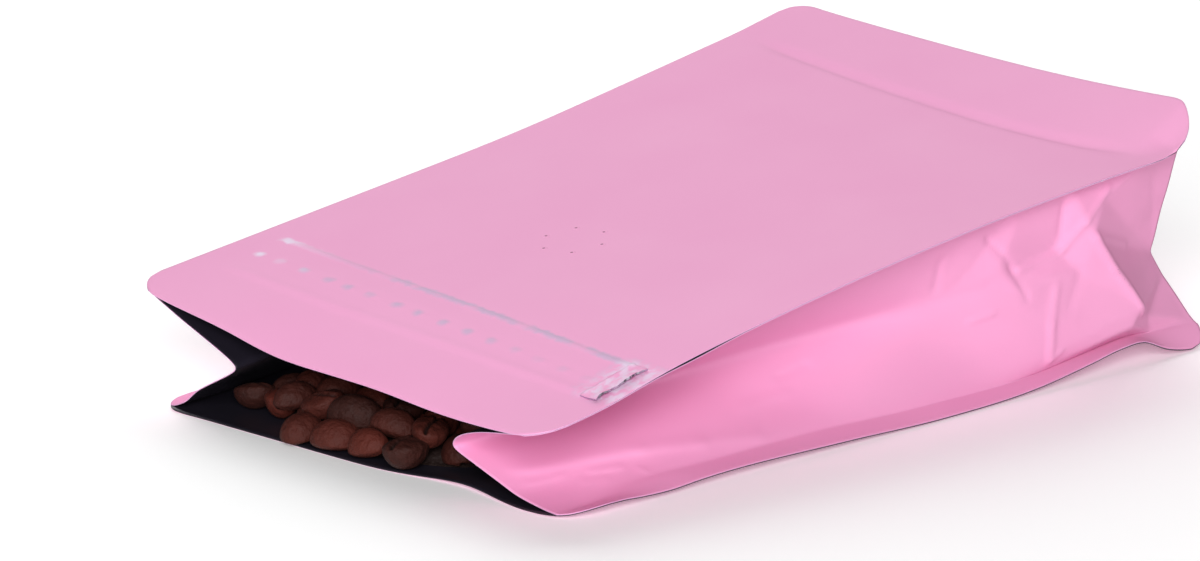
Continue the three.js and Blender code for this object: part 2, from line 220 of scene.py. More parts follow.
# Creases of the side gussets as points (x in mm, share of the way down, depth in mm): the long middle fold,
# the ridge over the back fin, and the crumples where the fold pops out near the flat bottom
NEAR_FOLD = [(-115, 0.53, 28.2), (-100, 0.54, 27.0), (-43, 0.553, 20.5), (0, 0.51, 12.8), (12, 0.485, 9.0),
             (24, 0.45, 5.2), (34, 0.45, 2.6)]
NEAR_CREASES = [
    [(-100, 0.70, 16.9), (-84, 0.777, 10), (-65.7, 0.825, 6), (-48, 0.87, 5.2)],
    [(27, 0.12, 1.0), (34.5, 0.172, 1.6), (41, 0.13, 0.3)],
    [(34.5, 0.172, 1.6), (36.4, 0.36, 0.8), (44.2, 0.54, 0.0)],
    [(43.2, 0.414, 1.2), (54.7, 0.36, 1.5)],
    [(57, 0, 0), (54.7, 0.36, 1.5)],
    [(54.7, 0.36, 1.5), (52.2, 0.484, -0.6), (48.2, 0.886, -1.6)],
    [(72, 0, 0), (67.9, 0.155, -1.0), (63.4, 0.317, -2.7), (61, 0.534, -1.3)],
    [(63.4, 0.317, -2.7), (77, 0.80, -5), (84, 0.90, -0.5), (100, 0.98, 1.5)],
    [(63.4, 0.317, -2.7), (94.8, 0.67, 8.5), (115, 0.67, 12)],
    [(77, 0.80, -5), (97, 0.777, 7), (115, 0.777, 8)],
    [(48.2, 0.886, -1.2), (59.2, 0.866, -3.0), (74.7, 0.912, -4.2), (77, 0.80, -5)],
    [(20.6, 0.25, 4.0), (24, 0.45, 5.2)],
]
FAR_FOLD = [(-115, 0.45, 29), (-100, 0.46, 30.3), (-82, 0.47, 28), (-43, 0.51, 20.5), (5, 0.55, 15.5),
            (28, 0.56, 11)]
FAR_CREASES = [
    [(28, 0.56, 11), (44, 0.46, 3)],
    [(30, 0.20, 2.5), (44, 0.46, 3), (52, 0.80, -1.5)],
    [(62, 0, 0), (58, 0.22, 0.6), (60, 0.37, -2.6)],
    [(44, 0.46, 3), (60, 0.37, -2.6)],
    [(60, 0.37, -2.6), (76, 0.76, -3.5), (86, 0.90, -0.3), (100, 0.98, 1.2)],
    [(60, 0.37, -2.6), (94.8, 0.67, 8), (115, 0.67, 12)],
    [(76, 0.76, -3.5), (97, 0.777, 6.5)],
    [(52, 0.80, -1.5), (76, 0.76, -3.5)],
]
# Places along both welds, in mm, where a gusset has no depth
WELD_POINTS = (-115, -60, -10, 40, 85, 115)
# Small creases of each gusset as (x from, share from, x to, share to, rise outwards, width), lengths in mm
SMALL_CREASES = {
    -1: [(-90, 0.755, -64, 0.835, 0.75, 1.8), (-64, 0.835, -49.6, 0.889, 0.65, 1.8),
         (-49.6, 0.889, -34, 0.94, 0.4, 1.6), (-76.5, 0.892, -70, 0.912, 0.55, 0.8),
         (-80, 0.93, -75, 0.945, 0.4, 0.8), (-67, 0.945, -66, 0.97, 0.4, 0.7),
         (-90, 0.86, -82, 0.865, 0.35, 0.9), (-20, 0.7, -12, 0.66, -0.35, 1.0),
         (30, 0.62, 36, 0.6, 0.35, 0.9), (-34, 0.8, -20, 0.78, 0.25, 1.2),
         (32.8, 0.147, 42.2, 0.405, -0.45, 0.9), (40, 0.36, 45, 0.568, -0.35, 0.9),
         (42.2, 0.405, 56.1, 0.378, 0.5, 0.9), (56.1, 0.378, 61, 0.24, 0.5, 0.9),
         (61, 0.24, 69.6, 0.106, 0.5, 0.9), (56.2, 0.093, 56.1, 0.3, -0.35, 1.0),
         (53.3, 0.554, 51.3, 0.744, 0.4, 1.2), (51.3, 0.744, 50.8, 0.934, 0.45, 1.0),
         (61, 0.5, 56.5, 0.7, -0.25, 1.5), (63.8, 0.324, 69.2, 0.541, 0.6, 0.9),
         (69.2, 0.541, 79.1, 0.853, 0.6, 0.9), (63.8, 0.324, 80, 0.5, 0.45, 0.9),
         (50.6, 0.95, 54, 0.905, 0.4, 0.8), (20.2, 0.2, 21.3, 0.39, -0.3, 1.2)],
    1: [(60, 0.37, 76, 0.76, 0.6, 0.9), (62, 0.05, 60, 0.37, 0.4, 1.0), (44, 0.46, 60, 0.37, 0.45, 0.9),
        (44, 0.46, 52, 0.8, -0.4, 1.0), (30, 0.2, 44, 0.46, -0.45, 0.9), (60, 0.37, 79, 0.53, 0.45, 0.9),
        (52, 0.8, 55, 0.93, 0.4, 0.8), (12, 0.7, 26, 0.64, 0.3, 1.1), (-70, 0.82, -48, 0.87, 0.5, 1.8),
        (-76, 0.9, -70, 0.88, 0.45, 0.9), (-24, 0.22, -14, 0.26, -0.3, 1.1)],
}
SMALL_CREASES_OVER = (0.0, 0.04)
# At the mouth: the share of the way down where the fold is, how round the flank over it is, and the share of
# the depth that the straight flank under it covers before it runs out along the floor
MOUTH_FOLD = {-1: (0.54, 2.2, 0.50), 1: (0.46, 1.1, 0.80)}
MOUTH_RUN_OUT = 12
MOUTH_ROUND_LENGTH = {-1: 55 * MM, 1: 120 * MM}
GUSSET_HEIGHT = 45 * MM
# Smoothing passes along and down the wall where it is soft, and where it turns crisp over and under the fold
GUSSET_SOFT = {"along": 220, "down": 12, "over_fold": (20 * MM, 44 * MM), "under_fold": (50 * MM, 66 * MM),
               "fold": (0.53, 0.68)}
CRUMPLE = {"height": 0.22 * MM, "short": 6.1 * MM, "short_slant": 9, "long": 11.3 * MM, "long_slant": -14,
           "over": (-20 * MM, 40 * MM)}
FIN_GAP = {"depth": 0.4 * MM, "at": -60 * MM, "width": 10 * MM}
LAYER_GAP = 0.015 * MM

# Flat bottom
GUSSET_END_RECESS = 5.6 * MM
END_FOLD_AT = 0.67
END_OVERLAP = 0.1 * MM
BOTTOM_FOLD_DEPTH = 12 * MM
BOTTOM_CORNER_SHARE = 0.15

# Grids: rows of the front, coarse but for the tear strip and the flap, and steps of the others as shares
FRONT_ROWS = {"strip": (14 * MM, 37 * MM), "flap": 28 * MM,
              "steps": (1.2 * MM, 0.36 * MM, 1.5 * MM, 0.55 * MM)}
STEP = {"front": 0.0142, "back": 0.02, "back_rows": 0.0075, "bottom": 0.018, "bottom_fin": 0.12, "fin": 0.115,
        "wall": 0.0135, "gusset_rows": 0.0036, "strip_end": 0.012, "strip_end_out": 0.08}
FIN_REACH = 0.92
BOTTOM_FIN_START = 0.06
WALL_EDGE = np.array([0.0, 0.004, 0.012])
WALL_MIDDLE = (0.025, 0.975)
TINY = 1e-9


def clamp01(value):
    """Held between 0 and 1."""
    return np.clip(value, 0.0, 1.0)


def mix(start, end, share):
    """Straight from start to end."""
    return start + (end - start) * share


def ease(low, high, value):
    """Smooth step from 0 at low to 1 at high."""
    share = clamp01((value - low) / (high - low))
    return share * share * (3 - 2 * share)


def hump(value, at, width):
    """Bell curve of height 1."""
    return np.exp(-((value - at) / width) ** 2)


def softened_ramp(value, width):
    """Zero below 0 and value above it, with the bend rounded over width."""
    return width * np.logaddexp(0.0, value / width)


def curve_through(knots, x):
    """Smooth curve through (x, height) knots in mm: cubic Hermite pieces with slopes from the
    neighbours."""
    at, height = np.array(knots).T * MM
    slope = np.gradient(height, at)
    piece = np.clip(np.searchsorted(at, x) - 1, 0, len(at) - 2)
    span = at[piece + 1] - at[piece]
    t = clamp01((x - at[piece]) / span)
    rest = 1 - t
    ends = height[piece] * (1 + 2 * t) * rest ** 2 + height[piece + 1] * t ** 2 * (3 - 2 * t)
    return ends + span * (slope[piece] * t * rest ** 2 - slope[piece + 1] * t ** 2 * rest)


def spaced(start, end, step):
    """Even places from start to end, about step apart."""
    return np.linspace(start, end, max(2, int(round(abs(end - start) / step)) + 1))


def crowded(half, step, evenness):
    """Places from -half to half that crowd towards both ends: a sine of even places, mixed with even
    ones."""
    even = spaced(-1, 1, step)
    return half * mix(np.sin(even * np.pi / 2), even, evenness)


def corner_inset(from_edge, radius):
    """How far a round corner cuts an end back, at a distance from the side edge: a circle's sagitta."""
    inside = np.maximum(0.0, radius - from_edge)
    return radius - np.sqrt(radius ** 2 - inside ** 2)


def end_radius(sizes, y):
    """Radius of the front panel's end corner on the side of y."""
    return sizes.corner_radius * np.where(y < 0, FRONT_END_ROUND[-1], FRONT_END_ROUND[1])


def strip_place(sizes, x, y):
    """Distance from the mouth, measured along the strip's own slightly skewed line."""
    return x - sizes.mouth_x + STRIP_SKEW * (1 - y / sizes.half_width)


def strip_relief(sizes, place, y):
    """Tear strip: a low band with a welded ridge along each edge and a row of pressed dots between them."""
    part = STRIP_RELIEF
    start = sizes.strip_start + STRIP_TAPER * (1 - y / sizes.half_width)
    band = part["band"] * ease(-part["start_soft"], part["start_soft"], place - start)
    band = band * ease(-part["end_soft"], part["end_soft"], sizes.strip_end - place)
    upper = part["upper"] * hump(place, sizes.strip_end - part["upper_inset"], part["upper_width"])
    lower = part["lower"] * hump(place, start + part["lower_inset"], part["lower_width"])
    row = part["dots"] * hump(place, DOTS["at"], part["dots_width"])
    dots = row * (1 + np.cos(2 * np.pi * y / DOTS["pitch"]))
    inside = ease(0.0, part["far_fade"], sizes.strip_half - y)
    inside = inside * ease(0.0, part["near_fade"], sizes.strip_half + y)
    return (band + upper + lower + dots) * inside


def strip_wear(place, y):
    """How much the ink is rubbed off, as shares (line along the strip's upper edge, row of dots, cut
    end): the line is strongest at the near half and at its far end, the dots fade out before the near
    end."""
    line = mix(WEAR["line_least"], 1.0, ease(*WEAR["line"], y))
    line = line + WEAR["far_spot"] * hump(y, WEAR["far_spot_at"], WEAR["far_spot_width"])
    line = clamp01(line) * ease(*WEAR["line_ends"], np.abs(y))
    dots = ease(*WEAR["dots_far"], y) * ease(*WEAR["dots_near"], y)
    dots = dots * mix(WEAR["dots_least"], 1.0, ease(*WEAR["dots_fade"], y))
    rub = WEAR["rub"] * ease(*WEAR["rub_y"], y)
    rub = rub * ease(*WEAR["rub_start"], place) * ease(*WEAR["rub_end"], place)
    return np.stack(np.broadcast_arrays(line, dots, rub), axis=-1)


def front_height(sizes, x, y):
    """Middle of the front film: straight between the two edge curves, less the sag of the lip, plus the
    bend past the bottom crease with its groove, and slow waves of a fraction of a millimetre."""
    place = (x - sizes.mouth_x) / (sizes.front_end_x - sizes.mouth_x)
    side = y / sizes.half_width
    near = NEAR_EDGE["start"] + NEAR_EDGE["rise"] * place - NEAR_EDGE["droop"] * place ** 2
    near = near - NEAR_EDGE["dip"] * hump(x, NEAR_EDGE["dip_at"], NEAR_EDGE["dip_width"])
    bend = softened_ramp(place - FAR_EDGE["bend_at"], FAR_EDGE["bend_width"])
    far = FAR_EDGE["start"] + FAR_EDGE["rise"] * place + FAR_EDGE["extra"] * bend
    sag = LIP_SAG["middle"] * (1 - side ** 2)
    sag = sag + LIP_SAG["far"] * hump(y, LIP_SAG["far_at"], LIP_SAG["width"])
    sag = sag + LIP_SAG["near"] * hump(y, LIP_SAG["near_at"], LIP_SAG["width"])
    sag = sag * clamp01(1 - (x - sizes.mouth_x) / LIP_SAG["length"]) ** MOUTH_FADE
    towards_near = np.maximum(0.0, -CREASE["near_from"] - y) / CREASE["near_over"]
    crease_x = sizes.front_end_x - CREASE["middle"] + CREASE["far"] * np.maximum(0.0, side) ** 2
    crease_x = crease_x + CREASE["near"] * towards_near ** 2
    flare = FLARE["middle"] + FLARE["across"] * side + FLARE["edges"] * side ** 2
    past = softened_ramp(x - crease_x, CREASE["soft"]) / (sizes.front_end_x - crease_x)
    droop = CORNER_DROOP["depth"] * ease(*CORNER_DROOP["over"], -y) * clamp01(CORNER_DROOP["haste"] * past)
    groove = CREASE["groove"] * hump(x, crease_x, CREASE["groove_width"])
    groove = groove * ease(*CREASE["groove_over"], np.abs(side))
    waves = np.zeros_like(place)
    for height, along, skew, lead_along, across, lead_across in FRONT_WAVES:
        wave = height * np.sin(x / along + skew * side + lead_along)
        waves = waves + wave * np.sin(y / across + lead_across)
    waves = waves * ease(*WAVES_OVER, np.abs(side))
    return mix(near, far, (1 + side) / 2) - sag + flare * past - droop - groove + waves


def front_mouth_x(sizes, y):
    """The front panel's mouth edge reaches a little farther out at its far corner."""
    return sizes.mouth_x - FAR_CORNER["reach"] * ease(*FAR_CORNER["over"], y)


def back_mouth_x(sizes, y):
    """The back panel's lip runs a little askew across the bag and is cut back by a shallow hollow."""
    straight = mix(sizes.back_mouth_near_x, sizes.back_mouth_far_x, (1 + y / sizes.half_width) / 2)
    return straight + LIP_HOLLOW["depth"] * hump(y, LIP_HOLLOW["at"], LIP_HOLLOW["width"])


def back_height(sizes, x, y):
    """Middle of the back film: flat in the middle, eased up to the welds, then straight from the height
    of the weld to that of the fin's cut edge, with a low arch in the lip."""
    weld = sizes.half_width - sizes.side_fin
    weld_rise = np.where(y < 0, curve_through(NEAR_WELD_RISE, x), curve_through(FAR_WELD_RISE, x))
    edge_rise = np.where(y < 0, curve_through(NEAR_FIN_EDGE, x), curve_through(FAR_FIN_EDGE, x))
    inner = (weld_rise - BACK_FLOOR) * ease(FLAT_HALF_WIDTH, weld, np.abs(y))
    outer = (edge_rise - weld_rise) * clamp01((np.abs(y) - weld) / sizes.side_fin)
    from_lip = x - back_mouth_x(sizes, y)
    arch = LIP_ARCH["height"] * hump(y, LIP_ARCH["at"], LIP_ARCH["width"])
    arch = arch * clamp01(1 - from_lip / LIP_ARCH["length"]) ** 2
    return BACK_FLOOR + inner + outer + arch


def drawn_in(points):
    """The far back edge is drawn in at the mouth: y moves towards the middle, most at the mouth, the edge
    and the floor."""
    x, y, z = np.moveaxis(points, -1, 0)
    share = ease(*FAR_TUCK["x"], x) * ease(*FAR_TUCK["y"], y) * ease(*FAR_TUCK["z"], z)
    return np.stack([x, y - FAR_TUCK["depth"] * share, z], axis=-1)


def smoothed(field, passes, axis):
    """Each pass replaces a value by a quarter of each neighbour and half of itself, along one axis."""
    widths = [(0, 0), (0, 0)]
    widths[axis] = (1, 1)
    for _ in range(passes):
        padded = np.pad(field, widths, mode="reflect", reflect_type="odd")
        count = field.shape[axis]
        parts = [np.take(padded, np.arange(at, at + count), axis=axis) for at in range(3)]
        field = (parts[0] + 2 * parts[1] + parts[2]) / 4
    return field


def facet_depth(lines, x, down):
    """Depth of a creased film: flat facets between crease lines. The lines' points are joined by a
    Delaunay net that keeps every crease, and inside each triangle the depth is the mean of its corners'
    depths, weighted by the areas that a point cuts off."""
    welds = [(at, edge, 0.0) for edge in (0, 1) for at in WELD_POINTS]
    points = list(dict.fromkeys([point for line in lines for point in line] + welds))
    edges = [(points.index(a), points.index(b)) for line in lines for a, b in zip(line, line[1:])]
    flat = [Vector((px * MM, share * GUSSET_HEIGHT)) for px, share, _ in points]
    placed, _, triangles, origins, _, _ = delaunay_2d_cdt(flat, edges, [], 0, MM * MM)
    given = np.array([[points[ids[0]][2] * MM if ids else np.nan] for ids in origins])
    spots = np.array([tuple(spot) for spot in placed])
    u, w = x, down * GUSSET_HEIGHT
    depth = np.zeros_like(x)
    for a, b, c in triangles:
        (ax, ay), (bx, by), (cx, cy) = spots[a], spots[b], spots[c]
        area = (bx - ax) * (cy - ay) - (cx - ax) * (by - ay)
        share_b = ((u - ax) * (cy - ay) - (cx - ax) * (w - ay)) / area
        share_c = ((bx - ax) * (w - ay) - (u - ax) * (by - ay)) / area
        within = (share_b >= -TINY) & (share_c >= -TINY) & (share_b + share_c <= 1 + TINY)
        plane = given[a] + share_b * (given[b] - given[a]) + share_c * (given[c] - given[a])
        depth = np.where(within, plane, depth)
    return depth


def small_creases(side, x, down):
    """Rise of the small creases: each is a bell curve of the distance from its line, eased out past its
    two ends."""
    rise = np.zeros_like(x)
    for from_x, from_down, to_x, to_down, height, width in SMALL_CREASES[side]:
        start = np.array([from_x * MM, from_down * GUSSET_HEIGHT])
        run = np.array([to_x * MM, to_down * GUSSET_HEIGHT]) - start
        length, wide = np.linalg.norm(run), width * MM
        u, w = x - start[0], down * GUSSET_HEIGHT - start[1]
        along = (u * run[0] + w * run[1]) / length
        beside = (w * run[0] - u * run[1]) / length
        ends = ease(-2 * wide, wide, along) * ease(length + 2 * wide, length - wide, along)
        rise = rise + height * MM * hump(beside, 0.0, wide) * ends
    return rise * ease(*SMALL_CREASES_OVER, 1 - down)


def gusset_depth(sizes, side, x, down):
    """Depth of a gusset's wall inwards from its weld: creased facets, rounded a little, with the fold bowed
    open at the mouth by the difference between a straight and a curved flank, and small creases."""
    lines = [NEAR_FOLD] + NEAR_CREASES if side < 0 else [FAR_FOLD] + FAR_CREASES
    fold, over, under = MOUTH_FOLD[side]
    flank = np.where(down < fold, (fold - down) / fold, (down - fold) / (1 - fold))
    curved = np.where(down < fold, flank ** over, mix(flank ** MOUTH_RUN_OUT, flank, under))
    mouth_depth = lines[0][1][2] * MM
    near_mouth = clamp01(1 - (x - sizes.mouth_x) / MOUTH_ROUND_LENGTH[side]) ** MOUTH_FADE
    sharp = facet_depth(lines, x, down) + mouth_depth * (flank - curved) * near_mouth
    crisp = smoothed(smoothed(sharp, 1, 0), 1, 1)
    soft = smoothed(smoothed(sharp, GUSSET_SOFT["along"], 0), GUSSET_SOFT["down"], 1)
    under_fold = ease(*GUSSET_SOFT["fold"], down)
    crispness = mix(ease(*GUSSET_SOFT["over_fold"], x), ease(*GUSSET_SOFT["under_fold"], x), under_fold)
    depth = mix(soft, crisp, crispness)
    edge_error = mix(depth[:, :1], depth[:, -1:], down)
    crumple = CRUMPLE["height"] * np.sin(x / CRUMPLE["short"] + CRUMPLE["short_slant"] * down)
    crumple = crumple * np.sin(x / CRUMPLE["long"] + CRUMPLE["long_slant"] * down + side)
    crumple = crumple * ease(*CRUMPLE["over"], x) * np.sin(np.pi * down) ** 2
    return depth - edge_error + crumple - small_creases(side, x, down)


# Meshes

def put_mesh(name, vertices, faces, finishes, slots=None, flat=None, fields=None, node=None):
    """Places vertices and groups of faces in a new object at the origin, with its finishes and point
    fields, and has it stand for a node of the frame."""
    mesh = bpy.data.meshes.new(name)
    corners = [face for group in faces for face in group.tolist()]
    mesh.from_pydata(vertices.tolist(), [], corners)
    for finish in finishes:
        mesh.materials.append(finish)
    if slots is not None:
        mesh.polygons.foreach_set("material_index", slots.astype(np.int32))
    mesh.polygons.foreach_set("use_smooth", np.ones(len(corners), bool) if flat is None else ~flat)
    for key, values in (fields or {}).items():
        kind, socket = ("FLOAT_VECTOR", "vector") if values.ndim == 2 else ("FLOAT", "value")
        mesh.attributes.new(key, kind, "POINT").data.foreach_set(socket, values.astype(np.float32).ravel())
    if mesh.validate(verbose=False):
        raise RuntimeError(f"{name} has broken faces")
    mesh.update()
    piece = bpy.data.objects.new(name, mesh)
    bpy.context.scene.collection.objects.link(piece)
    if node is not None:
        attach(piece, "root")
        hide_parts(node)
    return piece


def grid_faces(rows, columns):
    """Quads of a grid of points, turning from the row direction to the column direction."""
    index = np.arange(rows * columns).reshape(rows, columns)
    corners = (index[:-1, :-1], index[1:, :-1], index[1:, 1:], index[:-1, 1:])
    return np.stack(corners, axis=-1).reshape(-1, 4)


def ring_faces(rings, around, flip):
    """Quads between closed rings, and a fan of triangles from the first and last ring to the two poles,
    which follow the rings in the list of vertices."""
    index = np.arange(rings * around).reshape(rings, around)
    following = np.roll(index, -1, axis=1)
    quads = np.stack([index[:-1], index[1:], following[1:], following[:-1]], axis=-1).reshape(-1, 4)
    first = np.stack([np.full(around, rings * around), index[0], following[0]], axis=-1)
    last = np.stack([index[-1], np.full(around, rings * around + 1), following[-1]], axis=-1)
    return [group[:, ::-1] if flip else group for group in (quads, first, last)]


def film_piece(name, middle, panel, outwards, thickness, finishes, fields=None):
    """A closed film on both sides of a grid of middle points: each face lies half the thickness away
    along the normal, which is the cross product of the grid's two slopes, and a rim of quads closes the
    cut edges. The field panel keeps each point's place on the flat panel, in metres; other fields are
    grids too."""
    rows, columns = middle.shape[:2]
    normal = np.cross(np.gradient(middle, axis=0), np.gradient(middle, axis=1))
    normal /= np.maximum(np.linalg.norm(normal, axis=-1, keepdims=True), TINY * MM)
    turned_over = np.sum(normal * np.array(outwards)) < 0
    normal = -normal if turned_over else normal
    shell = [middle + normal * thickness / 2, middle - normal * thickness / 2]
    count = rows * columns
    outer = grid_faces(rows, columns)
    inner = outer[:, ::-1] + count
    index = np.arange(count).reshape(rows, columns)
    loop = np.concatenate([index[0], index[1:, -1], index[-1, -2::-1], index[-2:0:-1, 0]])
    following = np.roll(loop, -1)
    rim = np.stack([loop, following, following + count, loop + count], axis=-1)
    faces = np.concatenate([outer, inner, rim])
    faces = faces[:, ::-1] if turned_over else faces
    slots = np.repeat([0, 1, 2], [len(outer), len(inner), len(rim)])
    grids = {"panel": np.dstack([panel, np.zeros((rows, columns))]), **(fields or {})}
    grids = {key: np.concatenate([grid.reshape(-1, 3)] * 2) for key, grid in grids.items()}
    vertices = np.concatenate([part.reshape(-1, 3) for part in shell])
    put_mesh(name, vertices, [faces], finishes, slots, slots == 2, grids, "bag")


# Materials

RGBA = {"data_type": "RGBA"}
SMOOTH = {"interpolation_type": "SMOOTHSTEP"}


def add_node(tree, kind, inputs=None, output=0, **settings):
    """Adds a node with its settings, sets or links its inputs by name or number, and gives one output."""
    node = tree.nodes.new("ShaderNode" + kind)
    for key, value in settings.items():
        setattr(node, key, value)
    for key, value in (inputs or {}).items():
        if isinstance(value, bpy.types.NodeSocket):
            tree.links.new(value, node.inputs[key])
        else:
            node.inputs[key].default_value = value
    return node.outputs[output] if node.outputs else None


def new_material(name):
    """A node material without nodes, and add_node for its tree."""
    material = bpy.data.materials.get(name) or bpy.data.materials.new(name)
    material.use_nodes = True
    material.node_tree.nodes.clear()
    return material, partial(add_node, material.node_tree)


def finished(material, looks):
    """The material with one shader, whose inputs are set or linked by name."""
    shader = add_node(material.node_tree, "BsdfPrincipled", looks)
    add_node(material.node_tree, "OutputMaterial", {"Surface": shader})
    return material


def film_looks(add, dark, light, ior):
    """Matte varnished print: an even ink that clouds slightly over 30 mm, a gloss that drifts over 20 mm
    and a fine varnish grain. The real grain is about 0.05 mm and is drawn at 0.7 mm so that it shows."""
    place = add("TexCoord", output="Object")
    cloud = add("TexNoise", {"Vector": place, "Scale": 1 / (30 * MM), "Detail": 2.0})
    ink = add("Mix", {0: cloud, 6: dark, 7: light}, 2, **RGBA)
    gloss = add("TexNoise", {"Vector": place, "Scale": 1 / (20 * MM), "Detail": 3.0})
    rough = add("MapRange", {"Value": gloss, "To Min": 0.66, "To Max": 0.78})
    grain = add("TexNoise", {"Vector": place, "Scale": 1 / (0.7 * MM), "Detail": 2.0})
    varnish = add("Bump", {"Height": grain, "Strength": 0.12, "Distance": 0.05 * MM})
    return {"Base Color": ink, "Roughness": rough, "Normal": varnish, "IOR": ior}


def printed_film(colours):
    """Matte varnished laminate film: flat pink with a soft satin sheen."""
    material, add = new_material("laminate_film_matte_varnished")
    return finished(material, film_looks(add, colours.ink, colours.ink_light, 1.22))


def worn_front_film_painted_sheen(colours, sizes):
    """The same film in the lighter, greyer front inks, which paint the sheen of reflected light over the
    front, with the ink rubbed thin along the tear strip: a broken lilac line on its upper edge, a row of
    small lilac blotches 7.7 mm apart along its middle, paler at the far end, and a scuffed cut end."""
    material, add = new_material("laminate_film_matte_rubbed_strip_painted_sheen")
    # Front inks: painted sheen over the whole front and the pieces that lie on it.
    looks = film_looks(add, colours.front_ink_painted_sheen, colours.front_ink_light_painted_sheen, 1.26)
    place = add("Attribute", output="Vector", attribute_name="panel")
    wear = add("Attribute", output="Vector", attribute_name="wear")
    spot = add("SeparateXYZ", {0: place}).node.outputs
    share = add("SeparateXYZ", {0: wear}).node.outputs
    ragged = add("TexNoise", {"Vector": place, "Scale": 1 / (2.4 * MM), "Detail": 3.0})
    patchy = add("TexNoise", {"Vector": place, "Scale": 1 / (9 * MM), "Detail": 2.0})
    broken = add("MapRange", {"Value": patchy, "From Min": 0.34, "From Max": 0.52, "To Min": 0.25}, **SMOOTH)

    # Line along the upper edge, 1 to 3 mm wide
    off = add("Math", {0: ragged, 1: 2.0 * MM, 2: spot["X"]}, operation="MULTIPLY_ADD")
    off = add("Math", {0: off, 1: sizes.strip_end + 1.0 * MM}, operation="SUBTRACT")
    off = add("Math", {0: off}, operation="ABSOLUTE")
    line = add("MapRange", {"Value": off, "From Min": 1.7 * MM, "From Max": 0.5 * MM}, **SMOOTH)
    line = add("Math", {0: line, 1: share["X"]}, operation="MULTIPLY")
    line = add("Math", {0: line, 1: broken}, operation="MULTIPLY")

    # Blotches about 2.7 mm long and 2 mm wide
    cell = add("TexVoronoi", {"W": spot["Y"], "Scale": 1 / DOTS["pitch"], "Randomness": 0.2},
               voronoi_dimensions="1D")
    beside = add("Math", {0: cell, 1: DOTS["pitch"] / (1.35 * MM)}, operation="MULTIPLY")
    above = add("Math", {0: spot["X"], 1: 1 / (1.0 * MM), 2: -DOTS["at"] / (1.0 * MM)},
                operation="MULTIPLY_ADD")
    reach = add("CombineXYZ", {0: beside, 1: above})
    reach = add("VectorMath", {0: reach}, "Value", operation="LENGTH")
    reach = add("Math", {0: ragged, 1: 1.3, 2: reach}, operation="MULTIPLY_ADD")
    dots = add("MapRange", {"Value": reach, "From Min": 2.4, "From Max": 0.8}, **SMOOTH)
    dots = add("Math", {0: dots, 1: share["Y"]}, operation="MULTIPLY")
    dots = add("Math", {0: dots, 1: broken}, operation="MULTIPLY")

    # Scuffed cut end
    rub = add("MapRange", {"Value": ragged, "From Min": 0.38, "From Max": 0.62}, **SMOOTH)
    rub = add("Math", {0: rub, 1: share["Z"]}, operation="MULTIPLY")

    worn = add("Math", {0: line, 1: dots}, operation="MAXIMUM")
    worn = add("Math", {0: worn, 1: rub}, operation="MAXIMUM")
    bright = add("MapRange", {"Value": spot["Y"], "From Min": 30 * MM, "From Max": 56 * MM, "To Min": 0.1},
                 **SMOOTH)
    bright = add("Math", {0: bright, 1: share["Z"]}, operation="MAXIMUM")
    bare = add("Mix", {0: bright, 6: colours.worn, 7: colours.worn_light}, 2, **RGBA)
    looks["Base Color"] = add("Mix", {0: worn, 6: looks["Base Color"], 7: bare}, 2, **RGBA)
    return finished(material, looks)


def pierced_film_with_pit_shade(colours):
    """Film torn by a needle: the laminate's edge shows as a small brownish pink pit, darkened as painted
    shade.
    """
    material, _ = new_material("laminate_film_pierced_pit_shade")
    return finished(material, {"Base Color": colours.pierced, "Roughness": 0.6})


def inner_film(colours):
    """Dark pigmented inner film: near black with a violet cast and a low gloss that drifts over 15 mm."""
    material, add = new_material("polyethylene_inner_film_dark")
    place = add("TexCoord", output="Object")
    gloss = add("TexNoise", {"Vector": place, "Scale": 1 / (15 * MM), "Detail": 2.0})
    rough = add("MapRange", {"Value": gloss, "To Min": 0.34, "To Max": 0.52})
    tint = add("Mix", {0: gloss, 6: colours.inside, 7: colours.inside_light}, 2, **RGBA)
    return finished(material, {"Base Color": tint, "Roughness": rough, "IOR": 1.5})


def cut_edge(colours):
    """Die-cut edge of the laminate: pale film with glints of its aluminium layer every few millimetres."""
    material, add = new_material("laminate_film_cut_edge")
    place = add("TexCoord", output="Object")
    glint = add("TexNoise", {"Vector": place, "Scale": 1 / (3.5 * MM), "Detail": 3.0})
    bare = add("MapRange", {"Value": glint, "From Min": 0.70, "From Max": 0.76}, **SMOOTH)
    tint = add("Mix", {0: bare, 6: colours.edge, 7: colours.foil}, 2, **RGBA)
    return finished(material, {"Base Color": tint, "Roughness": 0.4})


def bare_foil(colours):
    """Torn aluminium layer of the laminate: bright and crinkled every millimetre or so."""
    material, add = new_material("aluminium_foil_torn")
    place = add("TexCoord", output="Object")
    crinkle = add("TexNoise", {"Vector": place, "Scale": 1 / (1.2 * MM), "Detail": 3.0})
    rough = add("MapRange", {"Value": crinkle, "To Min": 0.18, "To Max": 0.42})
    relief = add("Bump", {"Height": crinkle, "Strength": 0.6, "Distance": 0.2 * MM})
    return finished(material, {"Base Color": colours.foil, "Metallic": 1.0, "Roughness": rough,
                               "Normal": relief})


